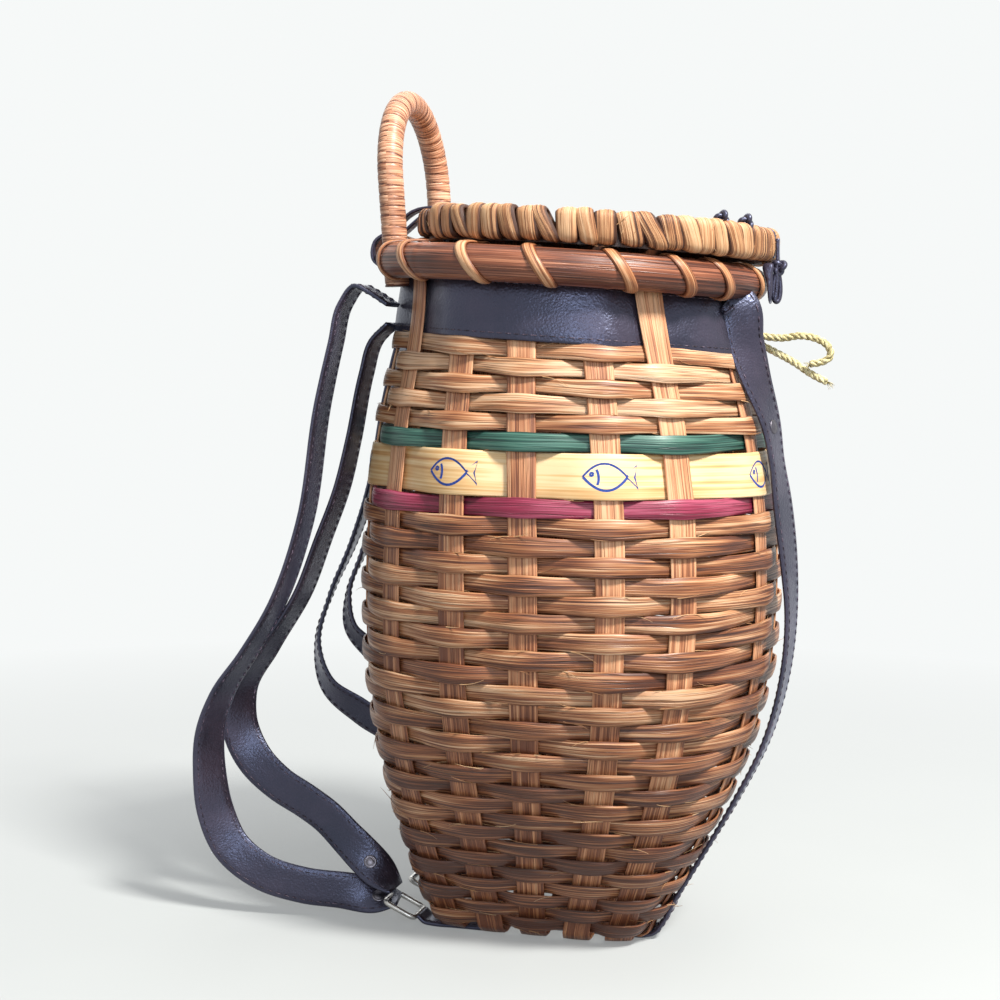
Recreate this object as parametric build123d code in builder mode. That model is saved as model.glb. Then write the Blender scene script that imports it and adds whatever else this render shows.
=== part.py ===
from build123d import *
import math
import os

# Woven fishing creel with a hinged lid, a fixed carrying handle and a leather backpack harness.
# Millimetres, +Z up, +X is the front, the near side faces -Y.
# The origin lies on the underside of the strap that runs beneath the base, at the middle of the base.

# ---- driving dimensions -------------------------------------------------------------------------
base_half_x = 58.0        # half length of the base, side to side
base_half_y = 34.0        # half depth of the base
belly_half = 105.0        # half width at the widest height
belly_height = 172.0      # widest height above the base weave
rim_half = 82.0           # half width of the stakes at the rim
rim_height = 340.5        # rim pole centre above the base weave
rim_tilt = 4.3            # the rim stands higher at the back, degrees
belly_shift = 10.2        # the belly bulges to the front
rim_shift = 5.7           # centre of the rim, to the front
corner_power = 3.0        # how square the base is, over the round rim
corner_fade = 78.0        # height over which the squareness dies away
levels = [0, 2, 8, 20, 40, 68, 100, 140, 182, 224, 265, 298, 327]  # where the splints bend

strap_width = 20.0
strap_thick = 2.0
floor_gap = 0.3           # between the strap under the base and the base weave

stake_width = 14.0
stake_thick = 1.2
stake_tip = 4.6           # how far the stakes reach above the rim pole's centre
stakes_long = 5           # splints that rise on the near and the far side
stakes_short = 2          # splints that rise on the left and the right side
stray = 4.5               # one stake stands this far out of its even place
backing_room = 0.8        # for a thin strip that backs each stake on its inner side

weaver_height = 8.3
weaver_thick = 1.0
weaver_pitch = 8.93       # from row to row along the wall
weaver_gap = 0.45         # between a weaver and the stake that it passes
lower_rows = 26
upper_rows = 5
upper_height = 7.6        # the upper rows are a little narrower
upper_gap = 0.95          # and further apart, because each tilts more than the one below
wood_height = 21.0        # wide plain splint between the dyed rows
row_gap = 0.55
first_row = 5.7           # height of the lowest row above the base weave
tilt_start = 258.0        # height at which the rows start to tilt into the plane of the rim

band_height = 23.0        # leather band below the rim
band_thick = 2.0

pole_radius = 7.6         # outer rim pole
inner_rim_height = 11.0
inner_rim_thick = 3.0
lash_width = 8.0
lash_thick = 1.0
fit_gap = 0.35            # between bent canes that lie against each other
pole_gap = 1.5            # between the stakes and the rim pole: flat stakes bow off the round
end_lash_width = 4.0

pole_reach = 149.0        # the outer pole's ends, degrees to either side of the front
pole_runs = 20
back_reach = 21.0         # the back pole's ends, degrees to either side of the back
back_runs = 3
hoop_bow = 0.8            # a hoop laid round the stakes is a little off the round
back_bow = 1.8            # and more so between the two stakes at the back
bar_sides = 12            # round canes are worked as fine facets

handle_radius = 5.8
handle_runs = 10          # of the arch
handle_set = 0.3          # the legs stand out from the pole's line
handle_half = 40.0        # the legs stand this far to either side of the middle
handle_foot = -18.0       # lower end of the legs, from the rim pole's centre
handle_rise = 81.0        # top of the arch, from the rim pole's centre
handle_lean = 4.4         # degrees, to the back

lid_radius = 87.2         # centre line of the edge hoop
lid_set = 8.011672         # back of the edge hoop's line, in front of the stakes at the rim's back
lid_rise = 16.2           # middle of the edge hoop above the rim pole's centre
lid_tilt = 2.9
hoop_height = 14.9
hoop_thick = 5.0
under_hoop_height = 7.0   # inner hoop that backs the edge hoop
under_hoop_thick = 4.0
under_hoop_drop = 0.8
lid_splints = 5
lid_splint_width = 25.0
lid_splint_pitch = 30.5
lid_splint_thick = 1.0
hoop_sides = 36
hinge_height = 4.9        # hinge axis above the middle of the edge hoop at the back
thong_width = 8.0
thong_thick = 1.5
thong_place = 10.2        # hinge thongs, to either side of the middle

latch_place = -5.0        # to the near side of the middle
latch_width = 5.0
latch_thick = 1.5
latch_length = 31.0
toggle_width = 12.0
toggle_height = 20.0
front_strap_place = -8.0
twine_size = 3.0
ring_place = 22.0         # harness rings, to either side of the middle
ring_wire = 3.0
ring_length = 21.0
ring_width = 23.0
tab_width = 16.0
tab_length = 36.0

os.makedirs("parts", exist_ok=True)

base_z = strap_thick + floor_gap + 1.5 * stake_thick - 0.1  # middle of the base weave


# ---- shape of the wall ----------------------------------------------------------------------------
def swell(z):
    """0 at the base, 1 at the belly and then down to 0 at the rim, with z above the base weave."""
    if z <= belly_height:
        return math.sin(math.pi / 2 * z / belly_height)
    up = min((z - belly_height) / (rim_height - belly_height), 1.0)
    return 0.5 * (1 + math.cos(math.pi * up**1.6))


stations = levels + [rim_height, rim_height + 20]


def straight(law, z):
    """A law's value at a height, in straight runs between the heights at which the splints bend."""
    low = max([s for s in stations[:-1] if s <= z], default=stations[0])
    high = stations[stations.index(low) + 1]
    return law(low) + (law(high) - law(low)) * (z - low) / (high - low)


def half_width(z, base_half):
    """Half width of the wall at a height, for the side whose base has this half width."""

    def law(h):
        low = base_half if h <= belly_height else rim_half
        return low + (belly_half - low) * swell(h)

    return straight(law, z)


def lean_back(z):
    """0 below the belly, 1 at the rim."""
    return (max(z - 180, 0) / (rim_height - 180)) ** 1.5


def centre_x(z):
    return straight(lambda h: belly_shift * math.sin(math.pi / 2 * min(h / 150, 1)), z) - straight(
        lambda h: (belly_shift - rim_shift) * lean_back(h), z
    )


def drift(z):
    """The stakes lean a little to the back near the rim."""
    return straight(lambda h: -6 * lean_back(h), z)


def mean_slope(z):
    """How fast the wall widens at a height, between its long and its short sides."""
    return sum(half_width(z + 2, half) - half_width(z - 2, half) for half in (base_half_x, base_half_y)) / 8


def stake_place(side, number, z):
    """Point, direction along the wall and outward direction of a stake, all level, at a height.

    side is +1 or -1. A long side's stakes have whole numbers by their place along X and stand on the
    far (+1) or near (-1) side; a short side's stakes have half numbers by their place along Y and
    stand on the right (+1) or left (-1).
    """
    a, b = half_width(z, base_half_x), half_width(z, base_half_y)
    n = straight(lambda h: 2 + corner_power * math.exp(-h / corner_fade), z)
    if isinstance(number, int):
        x = number * a * straight(lambda h: 0.345 + 0.045 * math.exp(-h / 50), z) + drift(z)
        x += stray * (number == 1) * straight(lambda h: 1 - math.exp(-h / 40), z)
        y = side * b * (1 - abs(x / a) ** n) ** (1 / n)
    else:
        y = 2 * number * b * straight(lambda h: 0.277 + 0.16 * math.exp(-h / 50), z)
        x = side * a * (1 - abs(y / b) ** n) ** (1 / n)
    out = Vector(math.copysign(abs(x / a) ** (n - 1) / a, x), math.copysign(abs(y / b) ** (n - 1) / b, y))
    out = out.normalized()
    along = Vector(-out.Y, out.X)
    if along.dot(Vector(1, 0) if isinstance(number, int) else Vector(0, 1)) < 0:
        along = -along
    return Vector(x + centre_x(z), y, base_z + z), along, out


long_numbers = [i - (stakes_long - 1) // 2 for i in range(stakes_long)]
short_numbers = [i - (stakes_short - 1) / 2 for i in range(stakes_short)]
# once round the basket, counter-clockwise from above, starting at the near side's left stake
stakes_round = [(-1, i) for i in long_numbers]
stakes_round += [(1, j) for j in short_numbers]
stakes_round += [(1, i) for i in reversed(long_numbers)]
stakes_round += [(-1, j) for j in reversed(short_numbers)]


def rim_z(x):
    """Height of the rim pole's centre above the floor."""
    return base_z + rim_height - math.tan(math.radians(rim_tilt)) * (x - rim_shift)


def flat_section(origin, along, forward, width, thick):
    """The cross-section of a flat strip, its width along one direction."""
    along = along - forward * (along.dot(forward) / forward.dot(forward))
    with BuildSketch(Plane(origin=origin, x_dir=along, z_dir=forward)) as section:
        Rectangle(width, thick)
    return section.sketch


def flat_strip(route, width, thick, level_width=False):
    """Loft a flat strip through a route of points, each with the direction of its width."""
    sections = []
    for i, (point, along) in enumerate(route):
        before = (point - route[i - 1][0]).normalized() if i else Vector()
        after = (route[i + 1][0] - point).normalized() if i + 1 < len(route) else Vector()
        forward = before + after
        if level_width:
            forward -= along * along.dot(forward)
        sections.append(flat_section(point, along, forward, width, thick))
    if level_width:
        for pair in zip(sections, sections[1:]):
            loft(pair, ruled=True)
    else:
        loft(sections, ruled=True)


# ---- stakes: long splints, down one wall, across the base in plain weave and up the other ----------
def wall_points(side, number):
    """Points of one stake from the foot to the tip, with the direction along the wall at each."""
    places = [stake_place(side, number, z) for z in stations[1:-2]]
    tip, along, _ = stake_place(side, number, rim_height)
    tip = Vector(tip.X, tip.Y, rim_z(tip.X) + stake_tip)
    return [(place[0], place[1]) for place in places] + [(tip, along)]


def base_points(number):
    """Points across the base, alternately above and below the crossing splints."""
    is_long = isinstance(number, int)
    lift = stake_thick / 2 + 0.15
    half = stake_width / 2 + 1.0
    found = []
    start, _, _ = stake_place(-1, number, 0)
    end, _, _ = stake_place(1, number, 0)
    others = short_numbers if is_long else long_numbers
    for count, other in enumerate(others):
        cross, _, _ = stake_place(-1, other, 0)
        turn = long_numbers.index(number) + count if is_long else short_numbers.index(number) + count
        sign = 1 if (turn % 2 == 0) == is_long else -1
        for step in (-half, half):
            if is_long:
                found.append(Vector(start.X, cross.Y + step, base_z + sign * lift))
            else:
                found.append(Vector(cross.X + step, start.Y, base_z + sign * lift))
    return start, found, end


def splint(number):
    is_long = isinstance(number, int)
    level = Vector(1, 0) if is_long else Vector(0, 1)
    start, across, end = base_points(number)
    inward = (end - start).normalized()
    down = list(reversed(wall_points(-1, number)))
    up = wall_points(1, number)
    route = [(p, a) for p, a in down]
    route += [(start + inward * 1.5 + Vector(0, 0, 0.3), level)]
    route += [(p, level) for p in across]
    route += [(end - inward * 1.5 + Vector(0, 0, 0.3), level)]
    route += up
    flat_strip(route, stake_width, stake_thick)


with BuildPart() as stakes_long_way:
    for number in long_numbers:
        splint(number)
stakes_long_way.part.label = "stakes_long_way"

with BuildPart() as stakes_short_way:
    for number in short_numbers:
        splint(number)
stakes_short_way.part.label = "stakes_short_way"


# ---- weavers: closed rows that pass alternately outside and inside the stakes ------------------------
def row_tilt(z):
    """Rows above the wood band tilt gradually into the plane of the rim, as a slope."""
    share = max(z - tilt_start, 0) / (rim_height - tilt_start)
    return math.tan(math.radians(rim_tilt)) * share


inside_room = stake_thick / 2 + 0.15 + backing_room + 0.25
weaver_margin = 0.6       # how far past a stake's edge a weaver runs straight


def row_outline(z, height, outside, offset, thick):
    """Corner points of a row's edge at a height: two beside each stake, outside it where outside(i)."""
    route = []
    for i, (side, number) in enumerate(stakes_round):
        x = stake_place(side, number, z)[0].X
        level = z - row_tilt(z) * (x - rim_shift)
        _, along, out = stake_place(side, number, level)
        point, _, _ = stake_place(side, number, level + height)
        if along.cross(out).Z > 0:
            along = -along
        if outside(i):
            shift = stake_thick / 2 + weaver_gap + thick / 2
        else:
            shift = -inside_room - thick / 2
        reach = stake_width / 2 + weaver_margin
        for step in (-reach, reach):
            route.append(point + along * step + out * (shift + offset))
    return route


def row(z, outside, height, thick):
    """A closed flat row that leans as the wall does, between a lower and an upper outline."""
    reach = height / 2 / math.sqrt(1 + mean_slope(z) ** 2)
    edges = []
    for step in (-reach, reach):
        slant = Plane(origin=(rim_shift, 0, base_z + z + step), z_dir=(row_tilt(z), 0, 1))
        with BuildSketch(slant) as edge:
            for offset, mode in ((thick / 2, Mode.ADD), (-thick / 2, Mode.SUBTRACT)):
                corners = []
                for p in row_outline(z, step, outside, offset, thick):
                    level_z = slant.origin.Z - row_tilt(z) * (p.X - rim_shift)
                    local = slant.to_local_coords(Vector(p.X, p.Y, level_z))
                    corners.append((local.X, local.Y))
                Polygon(*corners, align=None, mode=mode)
        edges.append(edge.sketch)
    loft(edges, ruled=True)


def over_even(i):
    return i % 2 == 1


def over_odd(i):
    return i % 2 == 0


def climb(z, pitch):
    return z + pitch / math.sqrt(1 + mean_slope(z) ** 2)


row_levels = [first_row]
while len(row_levels) < lower_rows:
    row_levels.append(climb(row_levels[-1], weaver_pitch))
red_level = row_levels[-1] + weaver_pitch
wood_level = red_level + weaver_height / 2 + row_gap + wood_height / 2
green_level = wood_level + wood_height / 2 + row_gap + weaver_height / 2
first_upper = green_level + weaver_height / 2 + upper_gap + upper_height / 2
upper_levels = [first_upper + (upper_height + upper_gap) * i for i in range(upper_rows)]
band_level = upper_levels[-1] + upper_height / 2 + upper_gap + 0.7 + band_height / 2
print("rows", round(row_levels[-1] + base_z, 1), round(red_level + base_z, 1), round(green_level + base_z, 1))
print("band top", round(band_level + band_height / 2 + base_z, 1), "rim", round(rim_height + base_z, 1))

with BuildPart() as lower_weave:
    for i, level in enumerate(row_levels):
        row(level, over_even if (lower_rows - i) % 2 else over_odd, weaver_height, weaver_thick)
lower_weave.part.label = "lower_weave"

with BuildPart() as burgundy_row:
    row(red_level, over_odd, weaver_height, weaver_thick)
burgundy_row.part.label = "burgundy_row"

with BuildPart() as wood_band:
    row(wood_level, over_even, wood_height, weaver_thick)
wood_band.part.label = "wood_band"

with BuildPart() as green_row:
    row(green_level, over_odd, weaver_height, weaver_thick)
green_row.part.label = "green_row"

with BuildPart() as upper_weave:
    for i, level in enumerate(upper_levels):
        row(level, over_odd if i % 2 else over_even, upper_height, weaver_thick)
upper_weave.part.label = "upper_weave"


def band_outside(i):
    side, number = stakes_round[i]
    return not (isinstance(number, int) and abs(number) == stakes_long // 2)


with BuildPart() as leather_band:
    row(band_level, band_outside, band_height, band_thick)
leather_band.part.label = "leather_band"


# ---- rim: a round pole outside the stakes and a flat hoop inside them, lashed together --------------
pole_line = rim_half + stake_thick / 2 + pole_gap + pole_radius


def pole_point(angle, radius):
    """A point in the plane of the rim, with the angle in degrees from the front."""
    x = rim_shift + radius * math.cos(math.radians(angle))
    return Vector(x, radius * math.sin(math.radians(angle)), rim_z(x))


def bar(points, radius):
    """A round bar in straight runs."""
    with BuildLine() as path:
        Polyline(*points)
    with BuildSketch(Plane(origin=points[0], z_dir=points[1] - points[0])) as section:
        RegularPolygon(radius, bar_sides)
    sweep(section.sketch, path=path.wire(), transition=Transition.RIGHT)


def pole(middle, reach, runs):
    """A length of pole whose runs all touch the circle of the pole's line."""
    step = 2 * reach / runs
    corner = pole_line / math.cos(math.radians(step / 2))
    bar([pole_point(middle - reach + step * i, corner) for i in range(runs + 1)], pole_radius)


with BuildPart() as outer_rim:
    pole(0, pole_reach, pole_runs)
outer_rim.part.label = "outer_rim"

with BuildPart() as back_rim:
    pole(180, back_reach, back_runs)
back_rim.part.label = "back_rim"

with BuildPart() as inner_rim:
    row(rim_height, lambda i: False, inner_rim_height, inner_rim_thick)
inner_rim.part.label = "inner_rim"


def wrap_outline(centre, radius, grow, angles, others):
    """Corners of a wrap: tangent runs round a circle and then the other corners as given."""
    turn = abs(angles[1] - angles[0]) / 2
    reach = (radius + fit_gap + grow) / math.cos(math.radians(turn))
    found = [
        (centre[0] + reach * math.cos(math.radians(a)), centre[1] + reach * math.sin(math.radians(a)))
        for a in angles
    ]
    return found + others


def lashing(angle, width, runs=pole_runs, reach=pole_reach, bow=hoop_bow):
    """Flat cane round the pole and the inner rim, in the upright plane at an angle from the pole's middle."""
    step = 2 * reach / runs
    local = pole_line / math.cos(math.radians((angle + reach) % step - step / 2))
    if runs == back_runs:
        angle += 180
    origin = pole_point(angle, local)
    outward = (origin - pole_point(angle, 0)).normalized()
    tangent = Vector(-math.sin(math.radians(angle)), math.cos(math.radians(angle)))
    inner_face = local - (rim_half - inside_room - inner_rim_thick) + bow + fit_gap
    half = inner_rim_height / 2 + fit_gap
    with BuildSketch(Plane(origin=origin, x_dir=outward, z_dir=-tangent)) as section:
        for grow, mode in ((lash_thick, Mode.ADD), (0, Mode.SUBTRACT)):
            corners = [(-inner_face - grow, half + grow), (-inner_face - grow, -half - grow)]
            outline = wrap_outline((0, 0), pole_radius, grow, [-80, -30, 20, 70, 120], corners)
            Polygon(*outline, align=None, mode=mode)
    extrude(section.sketch, amount=width / 2, both=True)


def stake_angle(i):
    side, number = stakes_round[i]
    place = stake_place(side, number, rim_height)[0]
    return math.degrees(math.atan2(place.Y, place.X - rim_shift))


beside_stake = math.degrees((stake_width / 2 + lash_width / 2 + 1.5) / rim_half)
first_back_stake = 2 * stakes_long + stakes_short
with BuildPart() as rim_lashings:
    for i in range(first_back_stake - 1):
        lashing(stake_angle(i) + beside_stake, lash_width)
    for angle in (pole_reach - 2, -pole_reach + 2):
        lashing(angle, end_lash_width)
rim_lashings.part.label = "rim_lashings"

with BuildPart() as back_lashing:
    lashing(0, lash_width, back_runs, back_reach, back_bow)
back_lashing.part.label = "back_lashing"


# ---- handle ----------------------------------------------------------------------------------------
handle_x = rim_shift - math.sqrt(pole_line**2 - handle_half**2) - handle_set
lean = math.radians(handle_lean)
handle_plane = Plane(
    origin=(handle_x, 0, rim_z(handle_x)), x_dir=(0, 1, 0), z_dir=(math.cos(lean), 0, math.sin(lean))
)
with BuildPart() as handle:
    arch = handle_rise - handle_half
    turns = [math.pi * (1 - i / handle_runs) for i in range(handle_runs + 1)]
    corners = [(handle_half * math.cos(a), arch + handle_half * math.sin(a)) for a in turns]
    corners = [(-handle_half, handle_foot)] + corners + [(handle_half, handle_foot)]
    bar([handle_plane.from_local_coords(Vector(x, y)) for x, y in corners], handle_radius)
handle.part.label = "handle"


# ---- lid: a deep edge hoop, an inner hoop that backs it, and a panel in plain weave ------------------
tilt = math.radians(lid_tilt)
lid_shift = rim_shift - rim_half + lid_set + lid_radius * math.cos(tilt)
lid_height = base_z + rim_height + lid_rise
lid_plane = Plane(
    origin=(lid_shift, 0, lid_height), x_dir=(math.cos(tilt), 0, -math.sin(tilt)), z_dir=(math.sin(tilt), 0, math.cos(tilt))
)


def hoop(outer, thick, bottom, height):
    with BuildSketch(lid_plane.offset(bottom)) as section:
        RegularPolygon(outer, hoop_sides)
        RegularPolygon(outer - thick, hoop_sides, mode=Mode.SUBTRACT)
    extrude(section.sketch, amount=height)


with BuildPart() as lid_hoop:
    hoop(lid_radius + hoop_thick / 2, hoop_thick, -hoop_height / 2, hoop_height)
lid_hoop.part.label = "lid_hoop"

backing_outer = lid_radius - hoop_thick / 2 - fit_gap
backing_bottom = -hoop_height / 2 - under_hoop_drop
with BuildPart() as lid_under_hoop:
    hoop(backing_outer, under_hoop_thick, backing_bottom, under_hoop_height)
lid_under_hoop.part.label = "lid_under_hoop"

panel_lift = lid_splint_thick / 2 + 0.15
panel_level = backing_bottom + under_hoop_height + 0.15 + panel_lift + lid_splint_thick / 2
offsets = [(i - (lid_splints - 1) / 2) * lid_splint_pitch for i in range(lid_splints)]
panel_radius = backing_outer - 0.4


def lid_splint(number, crossways):
    """One splint of the lid, over and under the splints that cross it."""
    half = lid_splint_width / 2 + 1
    route = []
    for count, cross in enumerate(offsets):
        lift = panel_lift if (number + count + crossways) % 2 else -panel_lift
        route += [(cross - half, lift), (cross + half, lift)]
    route[0] = (-lid_radius, route[0][1])
    route[-1] = (lid_radius, route[-1][1])
    place = offsets[number]
    points = []
    for run, lift in route:
        local = Vector(place, run, panel_level + lift) if crossways else Vector(run, place, panel_level + lift)
        points.append(lid_plane.from_local_coords(local))
    across = Vector(lid_plane.x_dir) if crossways else Vector(0, 1)
    flat_strip([(p, across) for p in points], lid_splint_width, lid_splint_thick)


def trim_panel():
    """Cut the splints to the round of the hoop, and slots for the hinge thongs at the back."""
    with BuildSketch(lid_plane.offset(panel_level)) as inside:
        RegularPolygon(panel_radius, hoop_sides)
        with Locations((-panel_radius, thong_place), (-panel_radius, -thong_place)):
            Rectangle(4 * under_hoop_thick, thong_width + 1, mode=Mode.SUBTRACT)
    extrude(inside.sketch, amount=4 * lid_splint_thick, both=True, mode=Mode.INTERSECT)


with BuildPart() as lid_splints_front_to_back:
    for number in range(lid_splints):
        lid_splint(number, False)
    trim_panel()
lid_splints_front_to_back.part.label = "lid_splints_front_to_back"

with BuildPart() as lid_splints_side_to_side:
    for number in range(lid_splints):
        lid_splint(number, True)
    trim_panel()
lid_splints_side_to_side.part.label = "lid_splints_side_to_side"


# ---- hinge: two leather thongs tied round the back of the rim and the back of the lid ----------------
hinge_x = lid_shift - lid_radius * math.cos(tilt)
hinge_z = lid_height + lid_radius * math.sin(tilt) + hinge_height
print("hinge", round(hinge_x, 2), round(hinge_z, 2))


def thong_outline(grow):
    """Corners in X and Z: round the back pole, over the hoop's top, down inside it and the inner rim."""
    loose = fit_gap + grow
    centre_of_pole = (rim_shift - pole_line, rim_z(rim_shift - pole_line))
    hoop_top = lid_height + lid_radius * math.sin(tilt) + hoop_height / 2 + loose + 0.1
    hoop_back = hinge_x - hoop_thick / 2 - loose - 0.4
    inside = hinge_x + hoop_thick / 2 + under_hoop_thick + fit_gap + loose + 0.8
    under_z = lid_height + lid_radius * math.sin(tilt) + backing_bottom - loose
    rim_inside = rim_shift - (rim_half - inside_room - inner_rim_thick) + hoop_bow + loose
    rim_bottom = rim_z(rim_shift - rim_half) - inner_rim_height / 2 - loose - 0.3
    corners = [(hoop_back, hoop_top), (inside, hoop_top), (inside, under_z), (rim_inside, rim_bottom)]
    return wrap_outline(centre_of_pole, pole_radius, grow, [250, 200, 150, 100], corners)


with BuildPart() as hinge_thongs:
    for place in (-thong_place, thong_place):
        with BuildSketch(Plane.XZ.offset(-place)) as section:
            Polygon(*thong_outline(thong_thick), align=None)
            Polygon(*thong_outline(0), align=None, mode=Mode.SUBTRACT)
        extrude(section.sketch, amount=thong_width / 2, both=True)
hinge_thongs.part.label = "hinge_thongs"


# ---- latch: a thong that hangs from the front of the lid, with a wedge that rests on the rim ---------
front_x = lid_shift + (lid_radius + hoop_thick / 2) * math.cos(tilt) + fit_gap
latch_z = lid_height - lid_radius * math.sin(tilt)
pole_front = rim_shift + pole_line + pole_radius
with BuildPart() as latch_anchor:
    with BuildSketch(Plane.XZ.offset(-latch_place)) as section:
        with Locations((front_x, latch_z)):
            Rectangle(latch_thick, hoop_height - 4, align=(Align.MIN, Align.CENTER))
    extrude(section.sketch, amount=latch_width / 2, both=True)
latch_anchor.part.label = "latch_anchor"

latch_x = front_x + latch_thick + fit_gap + latch_thick / 2
with BuildPart() as latch_thong:
    along = Vector(0, 1)
    drops = ((3.5, 0), (-5, 0.6), (-17, 0.2), (3.5 - latch_length, -0.5))
    flat_strip([(Vector(latch_x + x, latch_place, latch_z + z), along) for z, x in drops], latch_width, latch_thick)
latch_thong.part.label = "latch_thong"

with BuildPart() as latch_toggle:
    top = latch_z - hoop_height / 2 - 1.0
    back = pole_front + 0.1
    front = latch_x - latch_thick / 2 - 0.9
    with BuildSketch(Plane.XZ.offset(-latch_place)) as section:
        Polygon((back, top), (front, top), (front, top - toggle_height), align=None)
    extrude(section.sketch, amount=toggle_width / 2, both=True)
latch_toggle.part.label = "latch_toggle"


# ---- harness: leather straps ------------------------------------------------------------------------
tab_start = -base_half_x + tab_length - 4   # the tabs meet the end of the strap under the base


def wall_face(z, side):
    """X of the outermost rows of the front (+1) or the back (-1), at a height above the floor."""
    height = max(z - base_z, 0)
    reach = half_width(height, base_half_x) + stake_thick / 2 + weaver_gap + weaver_thick
    return centre_x(height) + side * reach


band_face = band_thick - 0.1 - weaver_thick
front_drops = ((272, 3.5), (222, 5), (181, 9.5), (140, 9), (109, 8.5), (76, 5), (42, 2), (22, 1.4), (10, 1.4))
with BuildPart() as front_strap:
    fold = [(wall_face(325, 1) + band_face, 323.8), (wall_face(325, 1) + 8, 324.6)]
    fold += [(wall_face(z, 1) + slack, z) for z, slack in front_drops]
    fold += [(wall_face(0, 1) - 1.5, strap_thick / 2 + 0.6), (wall_face(0, 1) - 6, strap_thick / 2)]
    fold += [(tab_start + 0.3, strap_thick / 2)]
    flat_strip([(Vector(x, front_strap_place, z), Vector(0, 1)) for x, z in fold], strap_width, strap_thick)
front_strap.part.label = "front_strap"


def shoulder_strap(route, side):
    """A loose strap through points of height, slack behind the wall and place along Y."""
    points = [Vector(wall_face(z, -1) - slack, side * y, z) for z, slack, y in route]
    flat_strip([(p, Vector(0, 1)) for p in points], strap_width, strap_thick, level_width=True)


near_outer = (
    (323, -4.9, 46), (324, 8, 46), (331, 17, 46), (321, 28, 46), (298, 30, 46), (250, 30, 46), (214, 39, 46),
    (172, 54, 46), (122, 86, 46), (78, 103, 46), (42, 104, 46), (20, 103, 46), (15, 80, 46), (15, 16, 22),
)
near_inner = (
    (314, -3.2, 34), (306, 6, 34), (256, 8, 34), (221, 13, 34), (190, 27, 30), (142, 64, 22), (112, 83, 22),
    (84, 80, 22), (62, 68, 22), (48, 50, 22), (28, 34, 22), (17.6, 27, 22), (17.6, 18, 22),
)
far_outer = (
    (323, -4.9, 46), (324, 8, 46), (327, 16, 46), (280, 22, 46), (222, 26, 46), (196, 34, 46), (150, 56, 46),
    (110, 62, 46), (88, 50, 46), (60, 42, 35), (30, 38, 22), (15, 32, 22), (15, 16, 22),
)
far_inner = (
    (314, -3.2, 34), (304, 6, 34), (262, 8, 34), (222, 14, 34), (186, 30, 28), (150, 38, 22), (118, 28, 22),
    (92, 22, 22), (60, 22, 22), (30, 27, 22), (17.6, 27, 22), (17.6, 18, 22),
)
with BuildPart() as near_strap_outer:
    shoulder_strap(near_outer, -1)
near_strap_outer.part.label = "near_strap_outer"

with BuildPart() as near_strap_inner:
    shoulder_strap(near_inner, -1)
near_strap_inner.part.label = "near_strap_inner"

with BuildPart() as far_strap_outer:
    shoulder_strap(far_outer, 1)
far_strap_outer.part.label = "far_strap_outer"

with BuildPart() as far_strap_inner:
    shoulder_strap(far_inner, 1)
far_strap_inner.part.label = "far_strap_inner"


# ---- rings below the base at the back, each held by a leather tab -----------------------------------
ring_slant = math.radians(25)
ring_bar = (ring_length - ring_wire) / 2   # from the middle of the ring to its end bars
ring_x = -base_half_x - 16.0
ring_z = strap_thick + fit_gap + 0.7 * ring_wire + ring_bar * math.sin(ring_slant)


def ring(side):
    """A rectangular ring of round wire that slants up to the back."""
    plane = Plane(
        origin=(ring_x, side * ring_place, ring_z),
        x_dir=(-math.cos(ring_slant), 0, math.sin(ring_slant)),
        z_dir=(math.sin(ring_slant), 0, math.cos(ring_slant)),
    )
    with BuildSketch(plane.offset(-ring_wire / 2)) as section:
        outer = Rectangle(ring_length, ring_width)
        chamfer(outer.vertices(), ring_wire / 2)
        Rectangle(ring_length - 2 * ring_wire, ring_width - 2 * ring_wire, mode=Mode.SUBTRACT)
    extrude(section.sketch, amount=ring_wire)


with BuildPart() as harness_rings:
    for side in (-1, 1):
        ring(side)
harness_rings.part.label = "harness_rings"

with BuildPart() as ring_tabs:
    for side in (-1, 1):
        bar_x = ring_x + ring_bar * math.cos(ring_slant)
        fold = [(tab_start, strap_thick / 2), (bar_x - 1.5, strap_thick / 2), (bar_x - 4.2, strap_thick / 2 + 4)]
        flat_strip([(Vector(x, side * ring_place, z), Vector(0, 1)) for x, z in fold], tab_width, strap_thick)
ring_tabs.part.label = "ring_tabs"


# ---- twine: two loose ends tied through the front strap ---------------------------------------------
def twine(points):
    """A limp cord: straight runs joined by tangent arcs, each as large as its runs allow."""
    corners = [Vector(*p) for p in points]
    radii = []
    for before, corner, after in zip(corners, corners[1:], corners[2:]):
        shorter = min((corner - before).length, (after - corner).length)
        turn = math.radians((corner - before).get_angle(after - corner))
        radii.append(0.45 * shorter / math.tan(turn / 2))
    print("twine radii", [round(r, 1) for r in radii])
    with BuildLine() as path:
        FilletPolyline(*corners, radius=radii)
    with BuildSketch(Plane(origin=corners[0], z_dir=corners[1] - corners[0])) as section:
        RegularPolygon(twine_size / 2, 4)
    sweep(section.sketch, path=path.wire())
    print("twine", round(path.wire().length, 1), "volume over section", round(section.sketch.area, 2))


upper_route = [
    (104.6, -9, 312.5), (114, -9, 310.5), (126, -8, 313.5), (139, -7, 309), (140, -7, 300), (130, -8.5, 299),
]
lower_route = [(105.8, -6, 307.5), (113, -5.5, 304), (122, -5, 299.5), (131.5, -5.5, 293), (138, -6, 290.5)]
with BuildPart() as twine_upper_end:
    twine(upper_route)
twine_upper_end.part.label = "twine_upper_end"

with BuildPart() as twine_lower_end:
    twine(lower_route)
twine_lower_end.part.label = "twine_lower_end"
print("strap face", round(wall_face(325, 1) + 8, 1), round(wall_face(272, 1) + 3.5, 1))

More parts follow.
